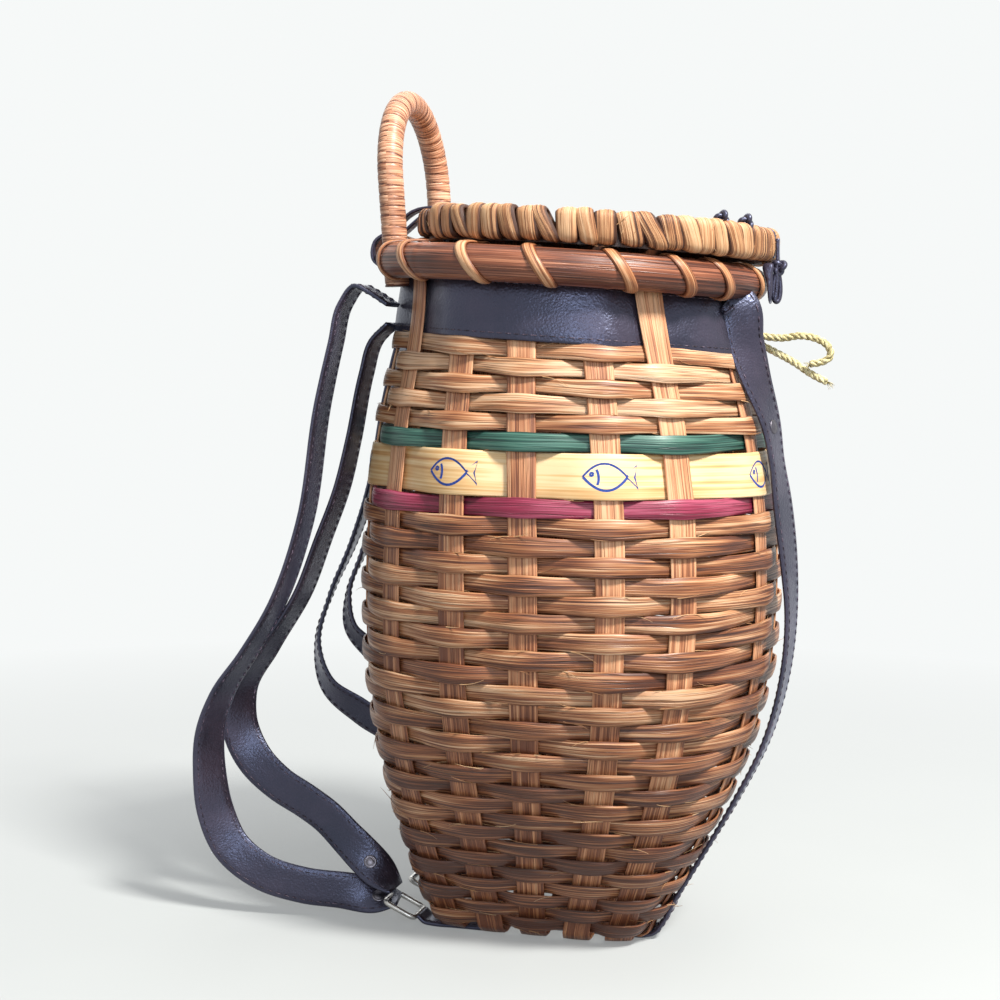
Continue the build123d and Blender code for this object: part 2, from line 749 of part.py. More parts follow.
nodes = [
    stakes_long_way, stakes_short_way, lower_weave, burgundy_row, wood_band, green_row, upper_weave, leather_band,
    outer_rim, back_rim, inner_rim, rim_lashings, back_lashing, handle,
    lid_hoop, lid_under_hoop, lid_splints_front_to_back, lid_splints_side_to_side, hinge_thongs,
    latch_anchor, latch_thong, latch_toggle, front_strap,
    near_strap_outer, near_strap_inner, far_strap_outer, far_strap_inner, harness_rings, ring_tabs,
    twine_upper_end, twine_lower_end,
]

for node in nodes:
    export_step(node.part, f"parts/{node.part.label}.step")
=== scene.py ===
import math
import random

import bpy
import numpy as np
from mathutils import Matrix, Vector

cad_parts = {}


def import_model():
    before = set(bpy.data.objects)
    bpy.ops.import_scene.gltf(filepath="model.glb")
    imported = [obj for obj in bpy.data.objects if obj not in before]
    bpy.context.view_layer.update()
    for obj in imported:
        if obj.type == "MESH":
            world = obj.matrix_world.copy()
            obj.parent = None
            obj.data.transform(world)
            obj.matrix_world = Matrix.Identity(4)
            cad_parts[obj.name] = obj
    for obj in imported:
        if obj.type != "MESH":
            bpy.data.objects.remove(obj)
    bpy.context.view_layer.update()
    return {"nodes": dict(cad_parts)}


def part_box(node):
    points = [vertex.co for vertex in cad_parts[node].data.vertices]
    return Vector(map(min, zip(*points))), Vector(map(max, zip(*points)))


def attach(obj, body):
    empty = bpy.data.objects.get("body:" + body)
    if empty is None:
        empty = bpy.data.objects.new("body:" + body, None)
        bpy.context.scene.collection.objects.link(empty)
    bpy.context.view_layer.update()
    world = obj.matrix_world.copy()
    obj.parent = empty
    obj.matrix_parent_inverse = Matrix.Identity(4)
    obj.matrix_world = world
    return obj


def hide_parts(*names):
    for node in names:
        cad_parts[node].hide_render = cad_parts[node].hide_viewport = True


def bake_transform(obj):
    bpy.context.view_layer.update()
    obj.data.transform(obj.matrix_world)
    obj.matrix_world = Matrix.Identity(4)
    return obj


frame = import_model()
rng = random.Random(11)
MM = 0.001
UP = np.array([0.0, 0.0, 1.0])
LEVEL = np.array([0.0, 1.0, 0.0])      # across the basket, from the near side to the far side

# ---- places shared with the CAD model, in millimetres
RIM_X = 5.7               # middle of the rim pole's circle
RIM_Z = 342.0
RIM_SLOPE = math.tan(math.radians(2.7))
BACK_Z = 344.5            # the back pole keeps to the stakes' own slope
BACK_SLOPE = math.tan(math.radians(4.3))
POLE_LINE = 91.7          # radius of the rim pole's circle
POLE_RADIUS = 8.5         # a little stouter than the CAD pole, as the lashed cane looks
BACK_POLE_RADIUS = 7.4
STAKE_REACH = 15.2        # a weaver runs straight for this far past each stake
LID_X = 18.8
LID_Z = 360.7
LID_TILT = math.radians(2.9)
LID_RADIUS = 87.2
HANDLE_HALF = 40.0
HANDLE_LEAN = math.radians(4.4)


# ---- mesh helpers
class Build:
    """Quads gathered into one mesh, in millimetres, with a UV map in metres and a tone for each strand."""

    def __init__(self):
        self.verts = []
        self.faces = []
        self.uv = []
        self.tone = []
        self.count = 0

    def grid(self, points, u, v, tone, loop=False, round_=True, caps=True):
        """A sheet of quads; loop closes it along the first direction and round_ along the second."""
        points = np.asarray(points, float)
        rows, cols = points.shape[:2]
        self.verts.append(points.reshape(-1, 3))
        u = np.asarray(u, float) * MM
        v = np.asarray(v, float) * MM
        i = np.arange(rows if loop else rows - 1)
        j = np.arange(cols if round_ else cols - 1)
        i, j = (a.ravel() for a in np.meshgrid(i, j, indexing="ij"))
        near, far = j, (j + 1) % cols
        low, high = i, (i + 1) % rows
        quads = np.stack([low * cols + near, high * cols + near, high * cols + far, low * cols + far], 1)
        self.faces += (quads + self.count).tolist()
        uv = np.stack([u[i], v[j], u[i + 1], v[j], u[i + 1], v[j + 1], u[i], v[j + 1]], 1)
        self.uv.append(uv.reshape(-1, 2))
        tone = np.asarray(tone, float)
        tone = tone[:, None] if tone.ndim == 1 else tone
        self.tone.append(np.broadcast_to(tone, (rows, cols)).ravel())
        if caps and not loop and round_:
            for row, order in ((0, range(cols)), (rows - 1, range(cols - 1, -1, -1))):
                self.faces.append([self.count + row * cols + k for k in order])
                self.uv.append(np.stack([np.full(cols, u[row]), v[np.array(order)]], 1))
        self.count += rows * cols

    def finish(self, name, slot, material, *nodes, body="basket"):
        mesh = bpy.data.meshes.new(name)
        verts = np.concatenate(self.verts) * MM
        mesh.from_pydata(verts.tolist(), [], self.faces)
        layer = mesh.uv_layers.new(name="UVMap")
        layer.data.foreach_set("uv", np.concatenate(self.uv).ravel())
        tone = mesh.attributes.new("tone", "FLOAT", "POINT")
        tone.data.foreach_set("value", np.concatenate(self.tone).astype(np.float32))
        mesh.polygons.foreach_set("use_smooth", [True] * len(mesh.polygons))
        mesh.materials.append(material)
        piece = bpy.data.objects.new(name, mesh)
        bpy.context.scene.collection.objects.link(piece)
        if body:
            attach(piece, body)
        if nodes:
            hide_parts(*nodes)
        return piece


def unit(a):
    a = np.asarray(a, float)
    return a / np.linalg.norm(a, axis=-1, keepdims=True)


def smooth(points, steps, loop=False):
    """A curve through the points: Hermite spans with tangents that allow for uneven spacing."""
    p = np.asarray(points, float)
    step = np.roll(p, -1, 0) - p
    gap = np.linalg.norm(step[:, :3], axis=1)
    slope = step / gap[:, None]
    if not loop:
        gap[-1], slope[-1] = gap[-2], slope[-2]
    before, last = np.roll(gap, 1), np.roll(slope, 1, 0)
    if not loop:
        before[0], last[0] = gap[0], slope[0]
    tangent = (slope * before[:, None] + last * gap[:, None]) / (gap + before)[:, None]
    t = (np.arange(steps) / steps)[:, None]
    found = []
    for i in range(len(p) if loop else len(p) - 1):
        j = (i + 1) % len(p)
        found.append(
            p[i] * (2 * t**3 - 3 * t**2 + 1) + p[j] * (3 * t**2 - 2 * t**3)
            + gap[i] * (tangent[i] * (t**3 - 2 * t**2 + t) + tangent[j] * (t**3 - t**2))
        )
    return np.vstack(found if loop else found + [p[-1:]])


def lengths(points, loop=False):
    """Length along a line at each point; a loop gets one more, for its whole length."""
    ends = np.vstack([points, points[:1]]) if loop else points
    return np.append(0, np.cumsum(np.linalg.norm(ends[1:] - ends[:-1], axis=1)))


def read_at(places, along, *tables):
    """Each table of three columns read at some lengths along its line."""
    return [np.stack([np.interp(places, along, t[:, k]) for k in range(3)], 1) for t in tables]


def resampled(points, count):
    """A line's points spread evenly, after the length along it at each."""
    along = lengths(points)
    places = np.linspace(0, along[-1], count)
    return places, read_at(places, along, points)[0]


def directions(points, loop=False):
    if loop:
        return unit(np.roll(points, -1, 0) - np.roll(points, 1, 0))
    return unit(np.gradient(points, axis=0))


SECTION_ACROSS = np.array([-1, -0.93, -0.5, 0, 0.5, 0.93, 1, 1, 0.93, 0.5, 0, -0.5, -0.93, -1])
SECTION_SIDE = np.array([0.45, 1, 1, 1, 1, 1, 0.45, -0.45, -1, -1, -1, -1, -1, -0.45])


def strip(build, centre, across, out, width, thick, crown=0.0, tone=0.0, loop=False, start=0.0):
    """A flat strip with rounded edges whose outer face is crowned."""
    width = np.broadcast_to(width, len(centre))[:, None, None]
    reach = SECTION_ACROSS[None, :, None]
    side = SECTION_SIDE[None, :, None]
    lift = side * thick / 2 + crown * (1 - reach**2) * np.where(side > 0, 1, 0.6)
    points = centre[:, None] + across[:, None] * reach * width / 2 + out[:, None] * lift
    u = lengths(centre, loop) + start
    v = np.append(SECTION_ACROSS, -1) * float(np.mean(width)) / 2
    build.grid(points, u, v, tone, loop=loop)


def tube(build, centre, radius, sides, tone=0.0, loop=False, up=(0, 0, 1), caps=True):
    """A round tube along a line, with a radius at each point or for all."""
    forward = directions(centre, loop)
    first = unit(np.cross(np.broadcast_to(up, forward.shape), forward))
    second = np.cross(forward, first)
    turn = np.arange(sides) * 2 * math.pi / sides
    radius = np.asarray(radius, float)
    if radius.ndim < 2:
        radius = np.broadcast_to(radius, len(centre))[:, None]
    ring = first[:, None] * np.cos(turn)[None, :, None] + second[:, None] * np.sin(turn)[None, :, None]
    points = centre[:, None] + ring * radius[:, :, None]
    v = np.arange(sides + 1) * 2 * math.pi / sides * float(radius.mean())
    build.grid(points, lengths(centre, loop), v, tone, loop=loop, caps=caps)


def hair(build, line, thick, thin, darkest=-0.3, up=(0, 0, 1)):
    """A fine fibre that thins towards its tip."""
    radius = np.linspace(thick, thin, len(line))
    tube(build, line, radius, sides=3, tone=rng.uniform(darkest, 0.5), caps=False, up=up)


def in_mm(corners):
    return [np.array(c) / MM for c in corners]


def islands(node):
    """The corner points of each solid of a CAD node, in millimetres."""
    mesh = frame["nodes"][node].data
    co = np.array([v.co for v in mesh.vertices]) / MM
    keys = {}
    index = [keys.setdefault(tuple(np.round(p, 2)), len(keys)) for p in co]
    parent = list(range(len(keys)))

    def root(i):
        while parent[i] != i:
            parent[i] = parent[parent[i]]
            i = parent[i]
        return i

    for edge in mesh.edges:
        a, b = (root(index[v]) for v in edge.vertices)
        parent[a] = b
    groups = {}
    for p, i in keys.items():
        groups.setdefault(root(i), []).append(p)
    return [np.array(g) for g in groups.values()]


def bearing(corners):
    """The angle of a solid's middle about the rim's circle."""
    middle = corners.mean(0)
    return math.atan2(middle[1], middle[0] - RIM_X)


def weaver_stations(corners):
    """Centre, direction across and outward direction at each bend of a woven row, once round."""
    middle = corners.mean(0)
    flat = corners - middle
    plane = np.c_[flat[:, :2], np.ones(len(flat))]
    above = flat[:, 2] - plane @ np.linalg.lstsq(plane, flat[:, 2], rcond=None)[0]
    edges = []
    for part in (flat[above < 0.9 * above.min()], flat[above > 0.9 * above.max()]):
        distance = np.linalg.norm(part[:, None] - part[None], axis=2) + 1e6 * np.eye(len(part))
        partner = distance.argmin(1)
        pairs = sorted({tuple(sorted((i, int(k)))) for i, k in enumerate(partner) if partner[k] == i})
        found = []
        for a, b in pairs:
            inner, outer = sorted((part[a], part[b]), key=lambda p: math.hypot(p[0], p[1]))
            found.append(np.r_[(inner + outer) / 2, unit(outer - inner)])
        found.sort(key=lambda f: math.atan2(f[1], f[0]))
        edges.append(np.array(found))
    low, high = edges
    shift = np.argmin([np.linalg.norm(np.roll(high, -k, 0)[:, :3] - low[:, :3]) for k in (-1, 0, 1)]) - 1
    high = np.roll(high, -shift, 0)
    centre = (low[:, :3] + high[:, :3]) / 2 + middle
    across = unit(high[:, :3] - low[:, :3])
    out = unit(low[:, 3:] + high[:, 3:])
    spans = np.linalg.norm(np.roll(centre, -1, 0) - centre, axis=1)
    if abs(spans[0::2] - STAKE_REACH).mean() > abs(spans[1::2] - STAKE_REACH).mean():
        centre, across, out = (np.roll(a, -1, 0) for a in (centre, across, out))
    return centre, across, out


# ---- materials
def srgb(*colour):
    """A colour of 0 to 255 in linear light, opaque."""
    shares = [c / 255 for c in colour]
    return (*(c / 12.92 if c <= 0.04045 else ((c + 0.055) / 1.055) ** 2.4 for c in shares), 1.0)


class Nodes:
    """A short way to write the nodes of a material or of the world."""

    def __init__(self, owner, shader="Principled BSDF", **look):
        owner.use_nodes = True
        self.owner = owner
        self.tree = owner.node_tree
        self.shader = self.tree.nodes[shader]
        self.look(**look)

    def put(self, value, socket):
        """Link a node's output to the socket, or give the socket a value of its own."""
        if isinstance(value, bpy.types.NodeSocket):
            self.tree.links.new(value, socket)
        else:
            socket.default_value = value

    def look(self, **values):
        """Set the shader's inputs."""
        for key, value in values.items():
            self.put(value, self.shader.inputs[key.replace("_", " ")])

    def add(self, kind, inputs=(), **settings):
        node = self.tree.nodes.new(kind)
        for key, value in settings.items():
            setattr(node, key, value)
        for key, value in dict(inputs).items():
            self.put(value, node.inputs[key])
        return node

    def scaled(self, source, scale):
        return self.add("ShaderNodeMapping", {"Vector": source, "Scale": scale}).outputs[0]

    def uv(self, *scale):
        return self.scaled(self.add("ShaderNodeUVMap", uv_map="UVMap").outputs[0], scale)

    def place(self, *scale):
        """Places on the object; one scale serves all three axes."""
        source = self.add("ShaderNodeTexCoord").outputs["Object"]
        return self.scaled(source, scale if len(scale) == 3 else scale * 3)

    def noise(self, vector, detail=3.0, roughness=0.6, distortion=0.0):
        inputs = {"Vector": vector, "Scale": 1.0, "Detail": detail, "Roughness": roughness}
        node = self.add("ShaderNodeTexNoise", inputs | {"Distortion": distortion})
        return node.outputs["Fac"]

    def math(self, operation, *values):
        return self.add("ShaderNodeMath", enumerate(values), operation=operation).outputs[0]

    def total(self, *pairs):
        """The sum of some values, each times its weight."""
        terms = [self.math("MULTIPLY", value, weight) if weight != 1 else value for value, weight in pairs]
        while len(terms) > 1:
            terms[:2] = [self.math("ADD", *terms[:2])]
        return terms[0]

    def span(self, value, low, high, to_low=0.0, to_high=1.0):
        inputs = {"Value": value, "From Min": low, "From Max": high, "To Min": to_low, "To Max": to_high}
        return self.add("ShaderNodeMapRange", inputs).outputs[0]

    def ramp(self, value, stops):
        node = self.add("ShaderNodeValToRGB", {0: value})
        elements = node.color_ramp.elements
        while len(elements) < len(stops):
            elements.new(0.5)
        for element, (place, colour) in zip(elements, stops):
            element.position = place
            element.color = srgb(*colour)
        return node.outputs[0]

    def mix(self, share, a, b, blend="MIX"):
        inputs = {0: share, 6: a, 7: b}
        return self.add("ShaderNodeMix", inputs, data_type="RGBA", blend_type=blend).outputs[2]

    def bump(self, height, strength, distance):
        inputs = {"Strength": strength, "Distance": distance, "Height": height}
        self.look(Normal=self.add("ShaderNodeBump", inputs).outputs[0])

    def seen(self):
        """1 for what the camera sees, straight or mirrored, and 0 for the light that falls on things."""
        path = self.add("ShaderNodeLightPath").outputs
        seen = self.math("MAXIMUM", path["Is Camera Ray"], path["Is Glossy Ray"])
        return self.math("MAXIMUM", seen, path["Is Transmission Ray"])


def new_material(name, roughness, **look):
    return Nodes(bpy.data.materials.new(name), Roughness=roughness, **look)


def cane(
    name, colours, grain=(14, 1300), runs="uv", roughness=0.42, specular=0.5, wander=0.3, bump=0.6, cracks=0.0
):
    """Split cane: long fibres with thin dark cracks, each strand with its own tone. The fibres run along
    the UV map or along the named axis of the object; "even" is for threads, which show no direction."""
    m = new_material(name, roughness, Specular_IOR_Level=specular)

    def fibrous(along, over, detail, **values):
        """Noise stretched along the fibres, at a share of the grain's scale each way."""
        along, over = along * grain[0], over * grain[1]
        if runs == "uv":
            place = m.uv(along, over, 1)
        else:
            place = m.place(*(along if axis == runs else over for axis in "xyz"))
        return m.noise(place, detail, **values)

    fibres = m.total((fibrous(1, 1, 2.5, roughness=0.65), 0.55), (fibrous(0.8, 0.22, 2.0), 0.45))
    patch = m.noise(m.uv(24, 60, 1) if runs == "uv" else m.place(30), 2.0)
    tone = m.add("ShaderNodeAttribute", attribute_name="tone").outputs["Fac"]
    shade = m.total(
        (m.span(fibres, 0.37, 0.63), 1), (tone, 0.9), (m.span(patch, 0.3, 0.7, -wander / 2, wander / 2), 1)
    )
    stops = [(0.12 + 0.76 * i / (len(colours) - 1), c) for i, c in enumerate(colours)]
    off_crack = m.math("ABSOLUTE", m.math("SUBTRACT", fibrous(0.6, 0.36, 1.0), 0.5))
    crack = m.span(off_crack, 0.0, 0.03)
    m.look(
        Base_Color=m.mix(1.0, m.ramp(shade, stops), m.span(crack, 0, 1, 1 - cracks, 1), "MULTIPLY"),
        Roughness=m.span(fibres, 0.3, 0.7, roughness + 0.12, roughness - 0.12),
    )
    m.bump(m.math("ADD", fibres, m.math("MULTIPLY", crack, 0.6 * (cracks > 0))), bump, 0.0008)
    return m.owner


def leather_material(name, dark, light, sheen=(200, 212, 255)):
    """Pebbled leather with fine grain, creases and worn patches."""
    tint = srgb(*sheen)
    m = new_material(name, 0.34, Specular_IOR_Level=0.9, Specular_Tint=tint)
    m.look(Sheen_Weight=0.08, Sheen_Tint=tint)
    inputs = {"Scale": 900.0, "Vector": m.add("ShaderNodeTexCoord").outputs["Object"]}
    cells = m.add("ShaderNodeTexVoronoi", inputs, feature="SMOOTH_F1").outputs["Distance"]
    grain = m.noise(m.place(1500), 2.0)
    creases = m.noise(m.place(90), 4.0, roughness=0.7, distortion=1.2)
    wear = m.span(m.noise(m.place(35)), 0.35, 0.7, 0.0, 0.7)
    share = m.math("ADD", wear, m.span(grain, 0.3, 0.7, -0.12, 0.18))
    m.look(Base_Color=m.ramp(share, [(0.0, dark), (1.0, light)]))
    m.look(Roughness=m.span(creases, 0.3, 0.7, 0.26, 0.42))
    m.bump(m.total((cells, 0.6), (grain, 0.3), (creases, 0.8)), 0.45, 0.0006)
    return m.owner


def metal(name, colour, roughness):
    """Worn plated metal, a little darker and rougher in blotches."""
    m = new_material(name, roughness, Metallic=1.0)
    blotch = m.noise(m.place(160))
    dull = tuple(int(c * 0.72) for c in colour)
    m.look(
        Base_Color=m.ramp(blotch, [(0.3, dull), (0.7, colour)]),
        Roughness=m.span(blotch, 0.3, 0.7, roughness + 0.12, roughness - 0.06),
    )
    m.bump(m.noise(m.place(700), 2.0), 0.12, 0.0004)
    return m.owner


def ink_material():
    m = new_material("blue_ink", 0.55, Specular_IOR_Level=0.25)
    m.look(Base_Color=m.ramp(m.noise(m.place(900)), [(0.3, (24, 54, 132)), (0.75, (62, 92, 168))]))
    return m.owner


WEAVER = cane(
    "weaver_cane", [(76, 38, 22), (124, 72, 44), (160, 104, 68), (190, 138, 98), (220, 180, 144)], cracks=0.5,
)
STAKE = cane(
    "stake_cane", [(112, 64, 42), (164, 106, 72), (204, 144, 104), (226, 176, 134)], (11, 1100), cracks=0.22,
)
BURGUNDY = cane("burgundy_cane", [(62, 9, 27), (106, 19, 45), (136, 35, 65), (168, 72, 98)], cracks=0.3)
GREEN = cane("green_cane", [(4, 27, 25), (12, 50, 44), (28, 74, 64), (70, 112, 98)], cracks=0.3)
WOOD = cane(
    "pale_splint", [(188, 135, 84), (214, 166, 109), (230, 190, 135), (242, 211, 164)], (7, 520), wander=0.45,
    bump=0.2,
)
POLE = cane(
    "pole_cane", [(58, 28, 19), (98, 52, 35), (134, 78, 54), (176, 116, 86)], (8, 1000), roughness=0.38,
    cracks=0.35,
)
WRAP = cane("wrap_cane", [(112, 62, 36), (162, 104, 66), (196, 139, 97), (223, 176, 134)], (24, 1800))
HANDLE_WRAP = cane(
    "handle_wrap", [(92, 50, 34), (176, 120, 90), (206, 154, 122), (228, 184, 152)], (1500, 40), wander=0.25,
    bump=0.25,
)
BINDING = cane(
    "hoop_binding", [(64, 34, 19), (146, 94, 58), (184, 132, 90), (206, 156, 112), (224, 182, 140)],
    (26, 2600), roughness=0.55, wander=0.25, bump=0.9,
)
PANEL_X = cane("panel_splint_x", [(150, 96, 56), (190, 138, 88), (214, 168, 116)], (9, 600), "x")
PANEL_Y = cane("panel_splint_y", [(144, 92, 54), (186, 134, 86), (210, 164, 112)], (9, 600), "y")
HOOP = cane("hoop_cane", [(42, 22, 14), (72, 40, 25), (104, 62, 39)], (16, 900), "z")
FIBRE = cane("fibre_cane", [(168, 118, 78), (214, 168, 120), (240, 208, 166)])
THREAD = cane("thread", [(26, 20, 28), (62, 52, 64), (112, 98, 114)], (900, 900), "even", specular=0.3)
TWINE = cane(
    "twine", [(150, 138, 96), (208, 196, 148), (238, 230, 194)], (700, 2600), roughness=0.7, specular=0.2,
)
LEATHER = leather_material("leather", (25, 20, 26), (60, 50, 60))
NICKEL = metal("nickel", (206, 204, 200), 0.28)
RIVET = metal("rivet_steel", (120, 116, 124), 0.34)
INK = ink_material()


# ---- weavers
STEPS = 7


def painted_shade_by_height(z):
    """Painted shade and light: the cane is made darker near the base and paler near the rim, as the light
    from above would show it.
    """
    return np.interp(z, (0, 120, 200, 340), (-0.34, -0.14, 0.0, 0.2))


fibres = Build()


class Row:
    """A woven row's smooth line, and which stakes it passes outside."""

    def __init__(self, line, across, out, outside, bends):
        self.line, self.across, self.out = line, across, out
        self.outside, self.bends = outside, bends

    def peaks(self):
        return [2 * i * STEPS + STEPS // 2 for i, o in enumerate(self.outside) if o]

    def stakes(self, outside_gap, inside_gap):
        """Where the stakes run, behind or in front of this row, and their direction across."""
        centre, _, out = self.bends
        middle = (centre[0::2] + centre[1::2]) / 2
        normal = unit(out[0::2] + out[1::2])
        shift = np.where(self.outside > 0, -outside_gap, inside_gap)[:, None]
        return middle + normal * shift, unit(centre[1::2] - centre[0::2])


def stray_fibre(point, forward, across, out, length):
    """A hair of cane that has split from an edge and curls away."""
    t = np.linspace(0, 1, 6)[:, None]
    lift = rng.uniform(0.08, 0.35)
    aside = rng.uniform(-0.35, 0.35)
    hair(fibres, point + length * (forward * t + out * lift * t**1.6 + across * aside * t**2), 0.26, 0.08)


def woven_row(
    build, corners, width, thick, crown, swell=1.0, tone=0.0, hump=0.0, fray=0, rise=0.0, outside=None
):
    """One weaver once round the basket, wider and humped where it passes outside a stake."""
    bends = weaver_stations(corners)
    centre, across, out = bends
    stakes = len(centre) // 2
    middles = (centre[0::2] + centre[1::2]) / 2
    inward = (np.roll(middles, 1, 0) + np.roll(middles, -1, 0)) / 2
    stand = ((middles - inward) * (out[0::2] + out[1::2]) / 2).sum(1)
    if outside is None:
        even = stand[0::2].mean() > stand[1::2].mean()
        outside = [(i % 2 == 0) == even for i in range(stakes)]
    outside = np.array(outside, float)
    wobble = np.array([rng.uniform(-0.4, 0.4) for _ in range(stakes)]).repeat(2)[:, None]
    centre = centre + across * (wobble * swell * (hump > 0) + rise)
    tones = np.array([tone + rng.uniform(-0.12, 0.12) for _ in range(stakes)]).repeat(2)[:, None]
    # painted shade by height on the humped strands: darker near the base, paler near the rim
    tones = tones + painted_shade_by_height(centre[:, 2])[:, None] * (hump > 0)
    table = smooth(np.hstack([centre, across, out, tones]), STEPS, loop=True)
    bell = np.zeros(len(table))
    for i in range(stakes):
        for k in range(-STEPS // 2, STEPS + STEPS // 2 + 1):
            share = math.cos(math.pi * (k / STEPS - 0.5) / 2) ** 2
            bell[(2 * i * STEPS + k) % len(table)] += outside[i] * share
    bell = np.clip(bell, 0, 1)
    line = table[:, :3] + table[:, 6:9] * (hump * bell)[:, None]
    across, out = unit(table[:, 3:6]), unit(table[:, 6:9])
    sizes = width + (swell - 1) * width * bell
    strip(build, line, across, out, sizes, thick, crown, table[:, 9], loop=True, start=rng.uniform(0, 3000))
    forward = directions(line, True)
    for _ in range(fray):
        k = rng.randrange(len(line))
        side = rng.choice((-1, 1))
        point = line[k] + across[k] * side * sizes[k] * 0.48 + out[k] * thick * 0.4
        stray_fibre(point, forward[k] * rng.choice((-1, 1)), across[k] * side, out[k], rng.uniform(3, 14))
    return Row(line, across, out, outside, bends)


def woven_node(node, slot, material, width, crown, swell, hump, fray, tone=0.0, thick=1.1):
    """All rows of a CAD node in one mesh, each with its own tone."""
    build = Build()
    found = []
    for corners in sorted(islands(node), key=lambda c: c[:, 2].mean()):
        shade = tone + rng.uniform(-0.2, 0.2)
        found.append(woven_row(build, corners, width, thick, crown, swell, shade, hump, fray))
    build.finish(node + "_cane", slot, material, node)
    return found


WOOD_CROWN = 0.25
lower_rows = woven_node("lower_weave", "weaver_cane", WEAVER, 8.85, 0.6, 1.16, 0.55, 15)
upper_rows = woven_node("upper_weave", "weaver_cane", WEAVER, 8.1, 0.55, 1.18, 0.5, 12, tone=0.12)
dyed_rows = woven_node("burgundy_row", "burgundy_cane", BURGUNDY, 8.5, 0.5, 1.15, 0.4, 2)
dyed_rows += woven_node("green_row", "green_cane", GREEN, 8.5, 0.5, 1.1, 0.4, 2)
wood_row = woven_node("wood_band", "pale_splint", WOOD, 21.4, WOOD_CROWN, 1.02, 0.2, 0, thick=1.0)[0]
fibres.finish("stray_fibres", "weaver_cane", FIBRE)


# ---- leather band and inner rim, whose bends also place the stakes
band = Build()
BAND_WIDTH, BAND_THICK = 30.0, 1.9
BAND_RISE = 1.0                    # the band's upper edge is tucked behind the rim pole
UNDER_STAKES = (1, 5, 8, 12)       # the band passes inside these stakes
band_row = woven_row(
    band, islands("leather_band")[0], BAND_WIDTH, BAND_THICK, 0.15, rise=BAND_RISE,
    outside=[i not in UNDER_STAKES for i in range(14)],
)
band.finish("leather_band_skin", "leather", LEATHER, "leather_band")
hoop_build = Build()
inner_row = woven_row(hoop_build, islands("inner_rim")[0], 11.0, 3.0, 0.4, outside=[False] * 14)
hoop_build.finish("inner_rim_hoop", "pole_cane", POLE, "inner_rim")


# ---- stakes: crowned splints that run down one wall, across the base and up the other
ROW_OUT, ROW_IN = 1.55, 2.3        # from a stake's middle to a weaver outside it and inside it
BAND_OUT, BAND_IN = 2.05, 2.8
HOOP_IN = 3.3
STAKE_TIP = 4.4                    # a stake stands this far above the inner rim's middle
BASE_Z, BASE_LIFT = 4.0, 0.75      # middle of the base's weave, and how far its splints part there
FOOT_INSET, FOOT_RISE = 0.97, 1.2  # where a wall turns into the base


def stake_chains():
    """For each stake its points from the lowest row to the tip, with the direction across."""
    rows = lower_rows[0::2] + dyed_rows + [wood_row] + upper_rows[0::2]
    rows = sorted(rows, key=lambda r: r.line[:, 2].mean())
    levels = [r.stakes(ROW_OUT, ROW_IN) for r in rows] + [band_row.stakes(BAND_OUT, BAND_IN)]
    levels.append(inner_row.stakes(0, HOOP_IN))
    chains = []
    for i in range(len(inner_row.outside)):
        chain = [np.r_[places[i], across[i]] for places, across in levels]
        tip = chain[-1].copy()
        tip[:3] += unit(chain[-1][:3] - chain[-2][:3]) * STAKE_TIP
        chains.append(np.array(chain + [tip]))
    return chains


def base_points(start, end, crossings, spread, over_first):
    """A splint's places where it crosses the others beneath the basket, over and under in turn."""
    points = []
    for k in range(crossings):
        share = 0.5 + ((k + 0.5) / crossings - 0.5) * spread
        point = start + (end - start) * share
        point[2] = BASE_Z + BASE_LIFT * (1 if (k % 2 == 0) == over_first else -1)
        points.append(point)
    return points


def whole_stakes():
    """Each splint runs down one wall, across the base and up the opposite wall."""
    chains = stake_chains()
    build = Build()
    pairs = [(k, 13 - k) for k in range(1, 6)] + [(0, 7), (13, 6)]
    for down, up in pairs:
        one, other = chains[down], chains[up]
        if (other[0][3:] @ one[0][3:]) < 0:
            other = other * np.array([1, 1, 1, -1, -1, -1])
        foot, toe = (np.r_[c[0][:2] * FOOT_INSET, BASE_Z + FOOT_RISE, c[0][3:]] for c in (one, other))
        crossings, spread = (2, 0.62) if down in range(1, 6) else (5, 0.86)
        over_first = (down % 2 == 1) == (crossings == 2)
        across_base = base_points(foot, toe, crossings, spread, over_first)
        table = smooth(np.vstack([one[::-1], [foot], across_base, [toe], other]), 5)
        line = table[:, :3]
        forward = directions(line)
        across = unit(table[:, 3:] - forward * (forward * table[:, 3:]).sum(1)[:, None])
        out = np.cross(forward, across)
        if out[3] @ (line[3] - np.array([RIM_X, 0, line[3][2]])) < 0:
            out = -out
        wear = 0.12 * np.sin(np.arange(len(line)) * 0.37 + down)
        # a tone of its own, an uneven wear along it, and painted shade: darker near the base, paler near the
        # rim
        tone = rng.uniform(-0.15, 0.2) + wear + painted_shade_by_height(line[:, 2])
        strip(build, line, across, out, 14.0 + wear * 2, 1.1, 0.3, tone, start=rng.uniform(0, 900))
    build.finish("stake_splints", "stake_cane", STAKE, "stakes_long_way", "stakes_short_way")


whole_stakes()


# ---- generic blue fish, drawn with ink on the plain splint
def fish_lines(size):
    """Outline, tail, gill and eye of a plain fish, as lines in the splint's own plane."""
    turn = np.linspace(-1, 1, 15)
    upper = np.c_[turn * size, (1 - turn**2) * size * 0.6]
    lower = np.c_[turn * size, (turn**2 - 1) * size * 0.6]
    tail = np.array([(0.97, 0.03), (1.5, 0.52), (1.34, 0), (1.5, -0.52), (0.97, -0.03)]) * size
    arc = np.linspace(-0.95, 0.95, 9)
    gill = np.c_[-size * 0.5 + np.cos(arc) * size * 0.2, np.sin(arc) * size * 0.42]
    ring = np.linspace(0, 2 * math.pi, 9)
    eye = np.c_[-size * 0.6 + np.cos(ring) * size * 0.07, size * 0.12 + np.sin(ring) * size * 0.07]
    return [upper, lower, tail, gill, eye]


